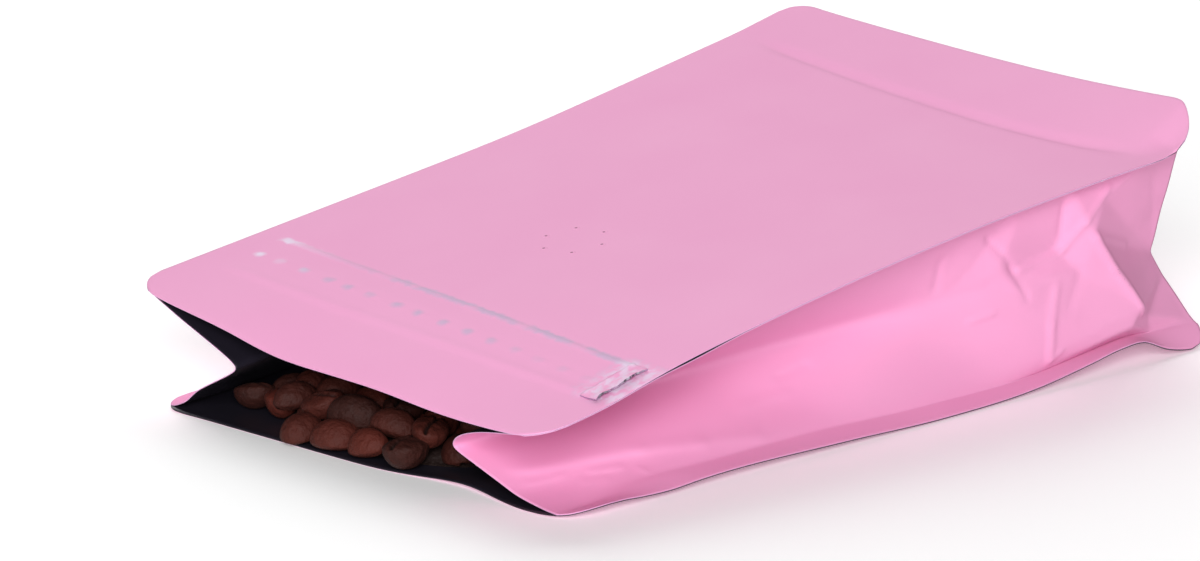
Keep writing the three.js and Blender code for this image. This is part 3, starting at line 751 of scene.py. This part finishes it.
def roasted_bean(colours):
    """Roasted coffee bean: dark brown skin that differs from bean to bean and is mottled every 2.5 mm, a
    seam darkened with painted shade, wrinkles of 1.5 mm and finer, and a faint oily sheen."""
    material, add = new_material("coffee_bean_roasted")
    place = add("TexCoord", output="Object")
    roast = add("Attribute", output="Fac", attribute_name="roast")
    # The seam field is painted shade: each bean's sunk seam and the mound under the heap are mixed towards
    # the seam colour.
    seam = add("Attribute", output="Fac", attribute_name="seam")
    mottle = add("TexNoise", {"Vector": place, "Scale": 1 / (2.5 * MM), "Detail": 4.0})
    shade = add("Math", {0: mottle, 1: 0.45, 2: roast}, operation="MULTIPLY_ADD")
    shade = add("MapRange", {"Value": shade, "From Min": 0.15, "From Max": 1.3})
    skin = add("Mix", {0: shade, 6: colours.roast_dark, 7: colours.roast_light}, 2, **RGBA)
    skin = add("Mix", {0: seam, 6: skin, 7: colours.seam}, 2, **RGBA)
    wrinkle = add("TexNoise", {"Vector": place, "Scale": 1 / (1.5 * MM), "Detail": 6.0})
    relief = add("Bump", {"Height": wrinkle, "Strength": 0.9, "Distance": 0.8 * MM})
    rough = add("MapRange", {"Value": mottle, "To Min": 0.58, "To Max": 0.80})
    return finished(material, {"Base Color": skin, "Normal": relief, "Roughness": rough, "IOR": 1.32})


def pale_floor(colours):
    """Opal acrylic studio table, faintly lit from below: even and pale."""
    material, _ = new_material("opal_acrylic_floor_matte")
    return finished(material, {"Base Color": colours.floor, "Roughness": 0.8,
                               "Emission Color": colours.floor, "Emission Strength": FLOOR_GLOW})


def film_finishes(settings, front=False):
    """Finishes of a film panel in the order outside, inside, cut edge."""
    colours = settings.colours
    # The front's outside is the worn film in the front inks, which carry painted sheen.
    outside = worn_front_film_painted_sheen(colours, settings.sizes) if front else printed_film(colours)
    return [outside, inner_film(colours), cut_edge(colours)]


# Pieces of the bag

def layer_offset(sizes):
    """Half the distance between the two films of a welded fin."""
    return sizes.film / 2 + LAYER_GAP


def build_front_panel(settings):
    """Front panel over a grid of shares along the bag and places across it: rows are close together on
    the tear strip, and each row's ends are cut back by the round corners."""
    sizes = settings.sizes
    full = sizes.front_end_x - sizes.mouth_x
    stops = [0, *FRONT_ROWS["strip"], full - FRONT_ROWS["flap"], full]
    parts = [spaced(*part)[:-1] for part in zip(stops, stops[1:], FRONT_ROWS["steps"])]
    share = (np.concatenate([*parts, [full]]) / full)[:, None]
    across = crowded(sizes.half_width, STEP["front"], 0.75)[None, :]
    from_edge = sizes.half_width - np.abs(across)
    start = front_mouth_x(sizes, across) + corner_inset(from_edge, sizes.corner_radius)
    end = sizes.front_end_x - corner_inset(from_edge, end_radius(sizes, across))
    x = mix(start, end, share)
    y = np.broadcast_to(across, x.shape)
    place = strip_place(sizes, x, y)
    z = front_height(sizes, x, y) + strip_relief(sizes, place, y) + layer_offset(sizes)
    panel = np.stack([place, y], axis=-1)
    film_piece("front_panel", np.stack([x, y, z], axis=-1), panel, (0, 0, 1), sizes.film,
               film_finishes(settings, front=True), {"wear": strip_wear(place, y)})


def build_strip_end(settings):
    """Crimped cut end of the tear strip: a short film over a grid of places along and across it. It
    leaves the strip's surface and lifts towards a wavy cut edge, whose lift and length waver by sums of
    sine waves."""
    sizes, end = settings.sizes, STRIP_END
    s = spaced(0, 1, STEP["strip_end"])[:, None]
    out = spaced(0, 1, STEP["strip_end_out"])[None, :]
    place = mix(sizes.strip_start + end["start_inset"], sizes.strip_end + end["end_reach"], s) + 0 * out
    ragged = sum(height * np.sin(turns * s + lead) for height, turns, lead in RAGGED_WAVES)
    y = -mix(end["from"], end["to"] + end["waver"] * ragged, out)
    x = sizes.mouth_x + place - STRIP_SKEW * (1 - y / sizes.half_width)
    waves = LIFT_WAVES["even"] + LIFT_WAVES["wave"] * np.sin(LIFT_WAVES["turns"] * s + LIFT_WAVES["lead"])
    waves = waves + LIFT_WAVES["ragged"] * ragged
    middle = ease(*end["start_over"], s) * ease(*end["end_over"], s)
    lift = end["raised"] + end["lift"] * out ** 2 * waves * mix(end["end_lift"], 1, middle)
    z = front_height(sizes, x, y) + strip_relief(sizes, place, y) + layer_offset(sizes) + lift
    foil = bare_foil(settings.colours)
    film_piece("tear_strip_end", np.stack([x, y, z], axis=-1), np.stack([place, y], axis=-1), (0, 0, 1),
               end["thickness"], [film_finishes(settings, front=True)[0], foil, foil],
               {"wear": strip_wear(place, y)})


def build_pinholes(settings):
    """Ring of pierced valve pinholes: each is a low round lip with a small pit, a closed profile turned
    about its own axis and set on the front panel."""
    sizes, count = settings.sizes, PINHOLES["count"]
    radius, height = np.array(PINHOLE_PROFILE).T[:, None, :, None] * MM
    turn = np.linspace(0, 2 * np.pi, PINHOLES["sides"], endpoint=False)
    angle = PINHOLES["turned"] + np.arange(count) * 2 * np.pi / count
    x = sizes.mouth_x + sizes.valve_from_mouth + sizes.valve_radius * np.cos(angle)
    y = VALVE_Y + sizes.valve_radius * np.sin(angle)
    px = x[:, None, None] + radius * np.cos(turn)
    py = y[:, None, None] + radius * np.sin(turn)
    pz = front_height(sizes, px, py) + layer_offset(sizes) + sizes.film / 2 + height
    vertices = np.stack([px, py, pz], axis=-1).reshape(-1, 3)
    rings, around = len(PINHOLE_PROFILE), len(turn)
    index = np.arange(rings * around).reshape(rings, around)
    under = np.roll(index, -1, axis=0)
    quads = np.stack([index, np.roll(index, -1, axis=1), np.roll(under, -1, axis=1), under], axis=-1)
    ring = np.arange(rings)[:, None]
    in_pit = np.broadcast_to((ring >= PINHOLES["pit_from"]) & (ring < PINHOLES["pit_to"]), quads.shape[:2])
    faces = (quads.reshape(1, -1, 4) + (np.arange(count) * rings * around)[:, None, None]).reshape(-1, 4)
    # The pit faces take the pierced colour: torn film plus painted shade in the hole.
    finishes = [film_finishes(settings, front=True)[0], pierced_film_with_pit_shade(settings.colours)]
    put_mesh("valve_pinholes", vertices, [faces], finishes, np.tile(in_pit.ravel(), count),
             node="bag")


def build_back_panel(settings):
    """Back panel: the same kind of grid on the floor, with its outside downwards."""
    sizes = settings.sizes
    across = crowded(sizes.half_width, STEP["back"], 0.5)[None, :]
    share = spaced(0, 1, STEP["back_rows"])[:, None]
    from_edge = sizes.half_width - np.abs(across)
    lip_radius = np.where(across < 0, LIP_CORNER[-1], LIP_CORNER[1])
    start = back_mouth_x(sizes, across) + corner_inset(from_edge, lip_radius)
    end = sizes.back_end_x - corner_inset(from_edge, sizes.corner_radius)
    x = mix(start, end, share)
    y = np.broadcast_to(across, x.shape)
    z = back_height(sizes, x, y) - layer_offset(sizes)
    panel = np.stack([x - sizes.mouth_x, y], axis=-1)
    outside, inside, _ = film_finishes(settings)
    film_piece("back_panel", drawn_in(np.stack([x, y, z], axis=-1)), panel, (0, 0, -1), sizes.film,
               [outside, inside, inside])


def fold_tent(down):
    """1 on the fold of the bag's end, straight down to 0 at both welds."""
    return np.where(down < END_FOLD_AT, down / END_FOLD_AT, (1 - down) / (1 - END_FOLD_AT))


def gusset_columns(sizes, side):
    """Columns of a gusset from the front fin's edge to the back fin's edge, as a dict of arrays: the
    share of each fin's width, the share of the way down on the wall, and each column's first and last
    x."""
    half, weld = sizes.half_width, sizes.half_width - sizes.side_fin
    fin = spaced(0, FIN_REACH, STEP["fin"])
    wall = np.concatenate([WALL_EDGE, spaced(*WALL_MIDDLE, STEP["wall"]), 1 - WALL_EDGE[::-1]])
    lip_radius = LIP_CORNER[side]
    front_radius = end_radius(sizes, side)
    mouth_x = front_mouth_x(sizes, side * half)
    front_start = mouth_x + corner_inset(fin * sizes.side_fin, sizes.corner_radius)
    front_end = sizes.front_end_x - corner_inset(fin * sizes.side_fin, front_radius)
    back_fin = fin[::-1]
    mouth_y = half - back_fin * sizes.side_fin
    back_start = back_mouth_x(sizes, side * mouth_y) + corner_inset(half - mouth_y, lip_radius)
    back_end = sizes.back_end_x - corner_inset(half - mouth_y, sizes.corner_radius)
    wall_start = mix(mouth_x + corner_inset(sizes.side_fin, sizes.corner_radius),
                     back_mouth_x(sizes, side * weld) + corner_inset(sizes.side_fin, lip_radius), wall)
    wall_end = mix(sizes.front_end_x - corner_inset(sizes.side_fin, front_radius),
                   sizes.back_end_x - corner_inset(sizes.side_fin, sizes.corner_radius), wall)
    wall_end = wall_end - GUSSET_END_RECESS * fold_tent(wall)
    return {"fin": fin, "wall": wall, "back_fin": back_fin,
            "start": np.concatenate([front_start, wall_start, back_start]),
            "end": np.concatenate([front_end, wall_end, back_end])}


def gusset_points(sizes, side):
    """Middle points of a gusset: the front fin lies under the front panel, the wall is y = weld -
    depth(x, down) with z straight from one weld to the other, and the back fin lies on the back panel."""
    columns = gusset_columns(sizes, side)
    half, weld = sizes.half_width, sizes.half_width - sizes.side_fin
    share = spaced(0, 1, STEP["gusset_rows"])[:, None]
    x = mix(columns["start"][None, :], columns["end"][None, :], share)
    fins, walls = len(columns["fin"]), len(columns["wall"])
    front, wall, back = x[:, :fins], x[:, fins:fins + walls], x[:, fins + walls:]
    layer = layer_offset(sizes)
    y_front = side * mix(half, weld, np.broadcast_to(columns["fin"][None, :], front.shape))
    y_back = side * mix(half, weld, np.broadcast_to(columns["back_fin"][None, :], back.shape))
    down = np.broadcast_to(columns["wall"][None, :], wall.shape)
    on_weld = np.full_like(wall, side * weld)
    y_wall = side * (weld - gusset_depth(sizes, side, wall, down))
    gap = FIN_GAP["depth"] * hump(front, FIN_GAP["at"], FIN_GAP["width"]) * (1 - columns["fin"])
    z_front = front_height(sizes, front, y_front) - layer - (gap if side < 0 else 0.0)
    z_back = back_height(sizes, back, y_back) + layer
    z_wall = mix(front_height(sizes, wall, on_weld) - layer, back_height(sizes, wall, on_weld) + layer, down)
    y = np.concatenate([y_front, y_wall, y_back], axis=1)
    z = np.concatenate([z_front, z_wall, z_back], axis=1)
    return drawn_in(np.stack([x, y, z], axis=-1)), fins, walls


def build_side_gussets(settings):
    """Near and far gusset, each one film from fin edge to fin edge."""
    sizes = settings.sizes
    for name, side in (("near_gusset", -1), ("far_gusset", 1)):
        points, _, _ = gusset_points(sizes, side)
        steps = np.linalg.norm(np.diff(points, axis=1), axis=-1)
        down = np.concatenate([np.zeros((len(points), 1)), np.cumsum(steps, axis=1)], axis=1)
        panel = np.stack([points[..., 0] - sizes.mouth_x, down], axis=-1)
        film_piece(name, points, panel, (0, side, 0), sizes.film, film_finishes(settings))


def build_bottom_panel(settings):
    """Bottom panel: its wall spans the two gussets' end edges, whose heights it takes up towards its own
    ends, and is folded inwards, deepest along its middle, with a fin under the front panel's end and one
    on the back's."""
    sizes, half = settings.sizes, settings.sizes.half_width
    near, fins, walls = gusset_points(sizes, -1)
    far, _, _ = gusset_points(sizes, 1)
    near_end, far_end = (points[-1, fins:fins + walls] for points in (near, far))
    down = gusset_columns(sizes, -1)["wall"][None, :]
    across = crowded(1.0, STEP["bottom"], 0.5)[:, None]
    share = (1 + across) / 2
    inwards = clamp01((1 - np.abs(across)) / BOTTOM_CORNER_SHARE)
    fold = (BOTTOM_FOLD_DEPTH - GUSSET_END_RECESS) * smoothed(inwards * fold_tent(down), 2, 1)
    y = mix(near_end[None, :, 1] + END_OVERLAP, far_end[None, :, 1] - END_OVERLAP, share)
    x = mix(near_end[None, :, 0], far_end[None, :, 0], share)
    x = x - smoothed(fold + sizes.bottom_fin * inwards, 2, 0)
    layer = layer_offset(sizes)
    z = mix(front_height(sizes, x, y) - layer, back_height(sizes, x, y) + layer, down)
    z = z + (1 - inwards) * np.where(across < 0, near_end[:, 2] - z[0], far_end[:, 2] - z[-1])
    fin_share = spaced(1, BOTTOM_FIN_START, STEP["bottom_fin"])[None, :]
    y_front = np.broadcast_to(y[:, :1], (len(y), fin_share.shape[1]))
    y_back = np.broadcast_to(y[:, -1:], y_front.shape)
    edge_front = sizes.front_end_x - corner_inset(half - np.abs(y_front), end_radius(sizes, y_front))
    edge_back = sizes.back_end_x - corner_inset(half - np.abs(y_back), sizes.corner_radius)
    x_front = mix(x[:, :1], edge_front, fin_share)
    x_back = mix(x[:, -1:], edge_back, fin_share[:, ::-1])
    z_front = front_height(sizes, x_front, y_front) - layer
    z_back = back_height(sizes, x_back, y_back) + layer
    parts = ((x_front, x, x_back), (y_front, y, y_back), (z_front, z, z_back))
    points = np.stack([np.concatenate(part, axis=1) for part in parts], axis=-1)
    film_piece("bottom_panel", points, points[..., 1:], (1, 0, 0), sizes.film, film_finishes(settings))


# Beans: the heap's outline, the mound under it, and one bean in shares of its half sizes

HEAP = {"from_lip": 18.0 * MM, "y": 3.5 * MM, "half_x": 17 * MM, "half_y": 38.5 * MM, "squareness": 3,
        "floor": 0.4 * MM}
LAYERS = [{"half_x": HEAP["half_x"], "half_y": HEAP["half_y"], "lift": 0.0, "tilt": 0.5, "seed": 100},
          {"half_x": 11 * MM, "half_y": 29 * MM, "lift": 3.4 * MM, "tilt": 0.6, "seed": 900}]
BEAN_SHIFT = 2 * MM
BEAN_SCALE = {"mean": 0.97, "spread": 0.24, "squat": 0.18}
BEANS_FLAT_SIDE_UP = 0.45
ROAST_SKEW = 1.5
# What is added to a bean's number for each of its own draws
DRAW = {"x": 0.0, "y": 0.3, "scale": 0.7, "squat": 0.61, "over": 0.11, "roll": 0.5, "tip": 0.9, "turn": 0.2,
        "roast": 0.43}
BEAN = {"flat_side": 0.35, "gather": 0.495, "seam_bow": 0.10, "seam_width": 0.10, "seam_depth": 0.20,
        "lip_at": 0.26, "lip_width": 0.14, "lip_height": 0.05, "underside": (0.15, -0.45),
        "seam_run": (1.0, 0.8)}
# The mound is darkened most of the way to the seam colour: painted shade for the depths of the heap.
MOUND = {"inset": 5 * MM, "end_inset": 10 * MM, "height": 3.4 * MM, "bump": 0.5 * MM,
         "bump_x": 1.7 * MM, "bump_y": 1.9 * MM, "rings": 18, "sides": 72, "inner": 0.04, "painted_shade": 0.85}


def scatter(index):
    """A repeatable number from 0 to 1 for each number: the fraction of a large sine wave."""
    wave = np.sin(index * 12.9898 + 4.1) * 43758.5453
    return wave - np.floor(wave)


def heap_x(sizes, y):
    """Middle of the heap along the bag, which follows the lip."""
    return back_mouth_x(sizes, HEAP["y"] + y) + HEAP["from_lip"]


def bean_layer(beans, layer):
    """Numbers and places of one layer's beans, on a staggered grid inside a superellipse."""
    half_x, half_y = layer["half_x"], layer["half_y"]
    row_pitch = beans.pitch * math.sqrt(0.75)
    rows, columns = int(2 * half_x / row_pitch) + 1, int(2 * half_y / beans.pitch) + 1
    row, column = (part.ravel() for part in np.meshgrid(np.arange(rows), np.arange(columns), indexing="ij"))
    number = layer["seed"] + row * 40.0 + column
    x = (row + 0.25) * row_pitch - half_x + (scatter(number + DRAW["x"]) - 0.5) * BEAN_SHIFT
    y = (column + (row % 2) / 2) * beans.pitch - half_y + (scatter(number + DRAW["y"]) - 0.5) * BEAN_SHIFT
    power = HEAP["squareness"]
    kept = np.abs(x / half_x) ** power + np.abs(y / half_y) ** power < 1
    return number[kept], x[kept], y[kept]


def bean_shape(beans):
    """One bean about the origin: an ellipsoid drawn in rings along its length, whose points gather below,
    where it is flattened and a curved seam is sunk between two rolled lips. Also, at each point, the strength
    of the painted shade that darkens the seam."""
    ring = np.linspace(0, np.pi, beans.along + 1)[1:-1, None]
    turn = np.linspace(0, 2 * np.pi, beans.around, endpoint=False)[None, :]
    turn = turn - BEAN["gather"] * np.cos(turn)
    x = np.broadcast_to(-np.cos(ring), (beans.along - 1, beans.around))
    y, z = np.sin(ring) * np.cos(turn), np.sin(ring) * np.sin(turn)
    off_seam = y - BEAN["seam_bow"] * np.sin(np.pi * x)
    seamed = ease(*BEAN["underside"], z) * ease(*BEAN["seam_run"], np.abs(x))
    sunk = hump(off_seam, 0.0, BEAN["seam_width"]) * seamed
    lips = hump(np.abs(off_seam), BEAN["lip_at"], BEAN["lip_width"]) * seamed
    z = np.where(z < 0, z * BEAN["flat_side"], z) + BEAN["seam_depth"] * sunk - BEAN["lip_height"] * lips
    poles = np.array([[-1.0, 0, 0], [1.0, 0, 0]])
    unit = np.concatenate([np.stack([x, y, z], axis=-1).reshape(-1, 3), poles])
    size = np.array([beans.length / 2, beans.width / 2, beans.height / (1 + BEAN["flat_side"])])
    return unit * size, np.concatenate([clamp01(sunk.ravel()), np.zeros(len(poles))])


def turned(points, angle, axis):
    """Points turned about X, Y or Z, each bean by its own angle."""
    first, second = [(1, 2), (2, 0), (0, 1)][axis]
    cosine, sine = np.cos(angle)[:, None], np.sin(angle)[:, None]
    result = points.copy()
    result[..., first] = points[..., first] * cosine - points[..., second] * sine
    result[..., second] = points[..., first] * sine + points[..., second] * cosine
    return result


def build_beans(settings):
    """Roasted beans in two layers: the one bean shape, scaled, turned over, tilted and turned by each
    bean's own number, and set down so that its lowest point is on its layer's floor."""
    sizes, beans = settings.sizes, settings.beans
    shape, seam = bean_shape(beans)
    placed, roasts = [], []
    for layer in LAYERS:
        number, x, y = bean_layer(beans, layer)
        draw = {key: scatter(number + offset) for key, offset in DRAW.items()}
        scale = BEAN_SCALE["mean"] + (draw["scale"] - 0.5) * BEAN_SCALE["spread"]
        squat = 1 + (draw["squat"] - 0.5) * BEAN_SCALE["squat"]
        points = shape[None] * scale[:, None, None] * np.stack([squat, 2 - squat, squat], axis=-1)[:, None, :]
        over = np.where(draw["over"] < BEANS_FLAT_SIDE_UP, np.pi, 0.0)
        points = turned(points, over + (draw["roll"] - 0.5) * layer["tilt"], 0)
        points = turned(points, (draw["tip"] - 0.5) * layer["tilt"], 1)
        points = turned(points, draw["turn"] * 2 * np.pi, 2)
        points[..., 0] += (heap_x(sizes, y) + x)[:, None]
        points[..., 1] += (HEAP["y"] + y)[:, None]
        points[..., 2] += HEAP["floor"] + layer["lift"] - points[..., 2].min(axis=1, keepdims=True)
        placed.append(points)
        roasts.append(draw["roast"] ** ROAST_SKEW)
    placed, roasts = np.concatenate(placed), np.concatenate(roasts)
    count, each = len(placed), len(shape)
    shift = (np.arange(count) * each)[:, None, None]
    faces = [group[None] + shift for group in ring_faces(beans.along - 1, beans.around, True)]
    faces = [group.reshape(-1, group.shape[-1]) for group in faces]
    # The seam field carries the painted shade of each bean's seam.
    fields = {"roast": np.repeat(roasts, each), "seam": np.tile(seam, count)}
    put_mesh("roasted_beans", placed.reshape(-1, 3), faces, [roasted_bean(settings.colours)], fields=fields,
             node="beans")


def build_bean_core(settings):
    """Low mound under the beans: a dome over a superellipse in polar rings, uneven by bumps of a bean's
    size, with a flat underside. It takes most of the seam colour, as painted shade for the heap's depths."""
    sizes, power, inner = settings.sizes, HEAP["squareness"], MOUND["inner"]
    radius = np.concatenate([np.linspace(inner, 1, MOUND["rings"]), [1.0, inner]])[:, None]
    turn = np.linspace(0, 2 * np.pi, MOUND["sides"], endpoint=False)[None, :]
    reach = (np.abs(np.cos(turn)) ** power + np.abs(np.sin(turn)) ** power) ** (-1 / power)
    x = (HEAP["half_x"] - MOUND["inset"]) * radius * reach * np.cos(turn)
    y = (HEAP["half_y"] - MOUND["end_inset"]) * radius * reach * np.sin(turn)
    bumps = MOUND["bump"] * np.sin(x / MOUND["bump_x"]) * np.sin(y / MOUND["bump_y"])
    z = HEAP["floor"] + (MOUND["height"] + bumps) * np.sqrt(clamp01(1 - radius ** 4))
    z[-2:] = HEAP["floor"]
    points = np.stack([x + heap_x(sizes, y), HEAP["y"] + y, z], axis=-1)
    vertices = np.concatenate([points.reshape(-1, 3), points[[0, -1]].mean(axis=1)])
    # The mound takes the seam colour almost fully: painted shade in the gaps between the beans.
    fields = {"roast": np.zeros(len(vertices)), "seam": np.full(len(vertices), MOUND["painted_shade"])}
    put_mesh("bean_core", vertices, ring_faces(*points.shape[:2], False), [roasted_bean(settings.colours)],
             fields=fields, node="beans")


# Stage

LIGHTS = {"key": {"place": (-1.27, -1.20, 0.68), "size": 0.8},
          "back": {"place": (0.72, 1.15, 0.95), "size": 2.0}}
LIGHT_AIM = (0, 0, 0.02)
FLOOR_GLOW = 0.12
FLOOR_REACH = 3.0
SENSOR_WIDTH = 36.0


def camera_back(stage):
    """Unit vector from the aim to the camera."""
    flat, rise = math.cos(stage.elevation), math.sin(stage.elevation)
    return Vector((math.sin(stage.azimuth) * flat, -math.cos(stage.azimuth) * flat, rise))


def add_light(name, power):
    """A square soft light that faces the bag."""
    lamp = bpy.data.lights.new(name, "AREA")
    lamp.size = LIGHTS[name]["size"]
    lamp.energy = power
    light = bpy.data.objects.new(name, lamp)
    place = Vector(LIGHTS[name]["place"])
    light.location = place
    light.rotation_euler = (Vector(LIGHT_AIM) - place).to_track_quat("-Z", "Y").to_euler()
    bpy.context.scene.collection.objects.link(light)


def build_stage(settings):
    """Pale floor, camera, key and back light, and even light from all sides."""
    scene, stage = bpy.context.scene, settings.stage
    corners = np.array([[-1, -1, 0], [1, -1, 0], [1, 1, 0], [-1, 1, 0]]) * FLOOR_REACH
    floor = put_mesh("floor", corners, [np.array([[0, 1, 2, 3]])], [pale_floor(settings.colours)])
    camera = bpy.data.objects.new("camera", bpy.data.cameras.new("camera"))
    camera.data.lens = stage.lens
    camera.data.sensor_width = SENSOR_WIDTH
    aim, back = Vector(stage.aim), camera_back(stage)
    camera.location = aim + back * stage.distance
    camera.rotation_euler = (-back).to_track_quat("-Z", "Y").to_euler()
    scene.collection.objects.link(camera)
    scene.camera = camera
    add_light("key", stage.key_power)
    add_light("back", stage.back_power)
    world = bpy.data.worlds.new("studio")
    world.use_nodes = True
    sky = world.node_tree.nodes["Background"]
    sky.inputs["Color"].default_value = (1, 1, 1, 1)
    sky.inputs["Strength"].default_value = stage.sky
    scene.world = world
    scene.view_settings.view_transform = "Standard"


# Operators

class COFFEEBAG_OT_front_panel(Operator):
    """Build the front panel with its tear strip"""
    bl_idname = "coffeebag.front_panel"
    bl_label = "Front panel"
    bl_options = {"REGISTER", "UNDO"}

    def execute(self, context):
        build_front_panel(context.scene.coffee_bag)
        return {"FINISHED"}


class COFFEEBAG_OT_strip_end(Operator):
    """Build the lifted cut end of the tear strip"""
    bl_idname = "coffeebag.strip_end"
    bl_label = "Tear strip end"
    bl_options = {"REGISTER", "UNDO"}

    def execute(self, context):
        build_strip_end(context.scene.coffee_bag)
        return {"FINISHED"}


class COFFEEBAG_OT_pinholes(Operator):
    """Build the pierced pinholes of the valve"""
    bl_idname = "coffeebag.pinholes"
    bl_label = "Valve pinholes"
    bl_options = {"REGISTER", "UNDO"}

    def execute(self, context):
        build_pinholes(context.scene.coffee_bag)
        return {"FINISHED"}


class COFFEEBAG_OT_back_panel(Operator):
    """Build the back panel"""
    bl_idname = "coffeebag.back_panel"
    bl_label = "Back panel"
    bl_options = {"REGISTER", "UNDO"}

    def execute(self, context):
        build_back_panel(context.scene.coffee_bag)
        return {"FINISHED"}


class COFFEEBAG_OT_side_gussets(Operator):
    """Build the two folded side gussets"""
    bl_idname = "coffeebag.side_gussets"
    bl_label = "Side gussets"
    bl_options = {"REGISTER", "UNDO"}

    def execute(self, context):
        build_side_gussets(context.scene.coffee_bag)
        return {"FINISHED"}


class COFFEEBAG_OT_bottom_panel(Operator):
    """Build the folded bottom panel"""
    bl_idname = "coffeebag.bottom_panel"
    bl_label = "Bottom panel"
    bl_options = {"REGISTER", "UNDO"}

    def execute(self, context):
        build_bottom_panel(context.scene.coffee_bag)
        return {"FINISHED"}


class COFFEEBAG_OT_beans(Operator):
    """Build the roasted beans in the mouth"""
    bl_idname = "coffeebag.beans"
    bl_label = "Roasted beans"
    bl_options = {"REGISTER", "UNDO"}

    def execute(self, context):
        build_beans(context.scene.coffee_bag)
        return {"FINISHED"}


class COFFEEBAG_OT_bean_core(Operator):
    """Build the mound under the beans"""
    bl_idname = "coffeebag.bean_core"
    bl_label = "Bean mound"
    bl_options = {"REGISTER", "UNDO"}

    def execute(self, context):
        build_bean_core(context.scene.coffee_bag)
        return {"FINISHED"}


class COFFEEBAG_OT_stage(Operator):
    """Build the floor, the lights and the camera"""
    bl_idname = "coffeebag.stage"
    bl_label = "Stage"
    bl_options = {"REGISTER", "UNDO"}

    def execute(self, context):
        build_stage(context.scene.coffee_bag)
        return {"FINISHED"}


OPERATORS = (COFFEEBAG_OT_front_panel, COFFEEBAG_OT_strip_end, COFFEEBAG_OT_pinholes, COFFEEBAG_OT_back_panel,
             COFFEEBAG_OT_side_gussets, COFFEEBAG_OT_bottom_panel, COFFEEBAG_OT_beans, COFFEEBAG_OT_bean_core,
             COFFEEBAG_OT_stage)


class CoffeeBagSettings(PropertyGroup):
    """All the settings of the bag."""
    sizes: PointerProperty(type=BagSizes, name="Sizes", description="Sizes of the pouch")
    colours: PointerProperty(type=BagColours, name="Colours", description="Colours of the film and the beans")
    beans: PointerProperty(type=BeanSizes, name="Beans", description="Sizes of the roasted beans")
    stage: PointerProperty(type=StageSettings, name="Stage", description="Camera and lights")


class COFFEEBAG_PT_sidebar(Panel):
    """Lists the bag's settings and the steps that build it"""
    bl_label = "Coffee bag"
    bl_space_type = "VIEW_3D"
    bl_region_type = "UI"
    bl_category = "Coffee bag"

    def draw(self, context):
        settings = context.scene.coffee_bag
        for operator in OPERATORS:
            self.layout.operator(operator.bl_idname)
        for group in (settings.sizes, settings.colours, settings.beans, settings.stage):
            box = self.layout.box()
            for key in group.__annotations__:
                box.prop(group, key)


CLASSES = (BagSizes, BagColours, BeanSizes, StageSettings, CoffeeBagSettings, *OPERATORS,
           COFFEEBAG_PT_sidebar)


def register():
    """Registers the classes and hangs the settings on the scene."""
    for each in CLASSES:
        bpy.utils.register_class(each)
    bpy.types.Scene.coffee_bag = PointerProperty(type=CoffeeBagSettings)


def unregister():
    """Takes the settings and the classes away again."""
    del bpy.types.Scene.coffee_bag
    for each in reversed(CLASSES):
        bpy.utils.unregister_class(each)


def main():
    register()
    for operator in OPERATORS:
        group, name = operator.bl_idname.split(".")
        getattr(getattr(bpy.ops, group), name)()


if __name__ == "__main__":
    main()
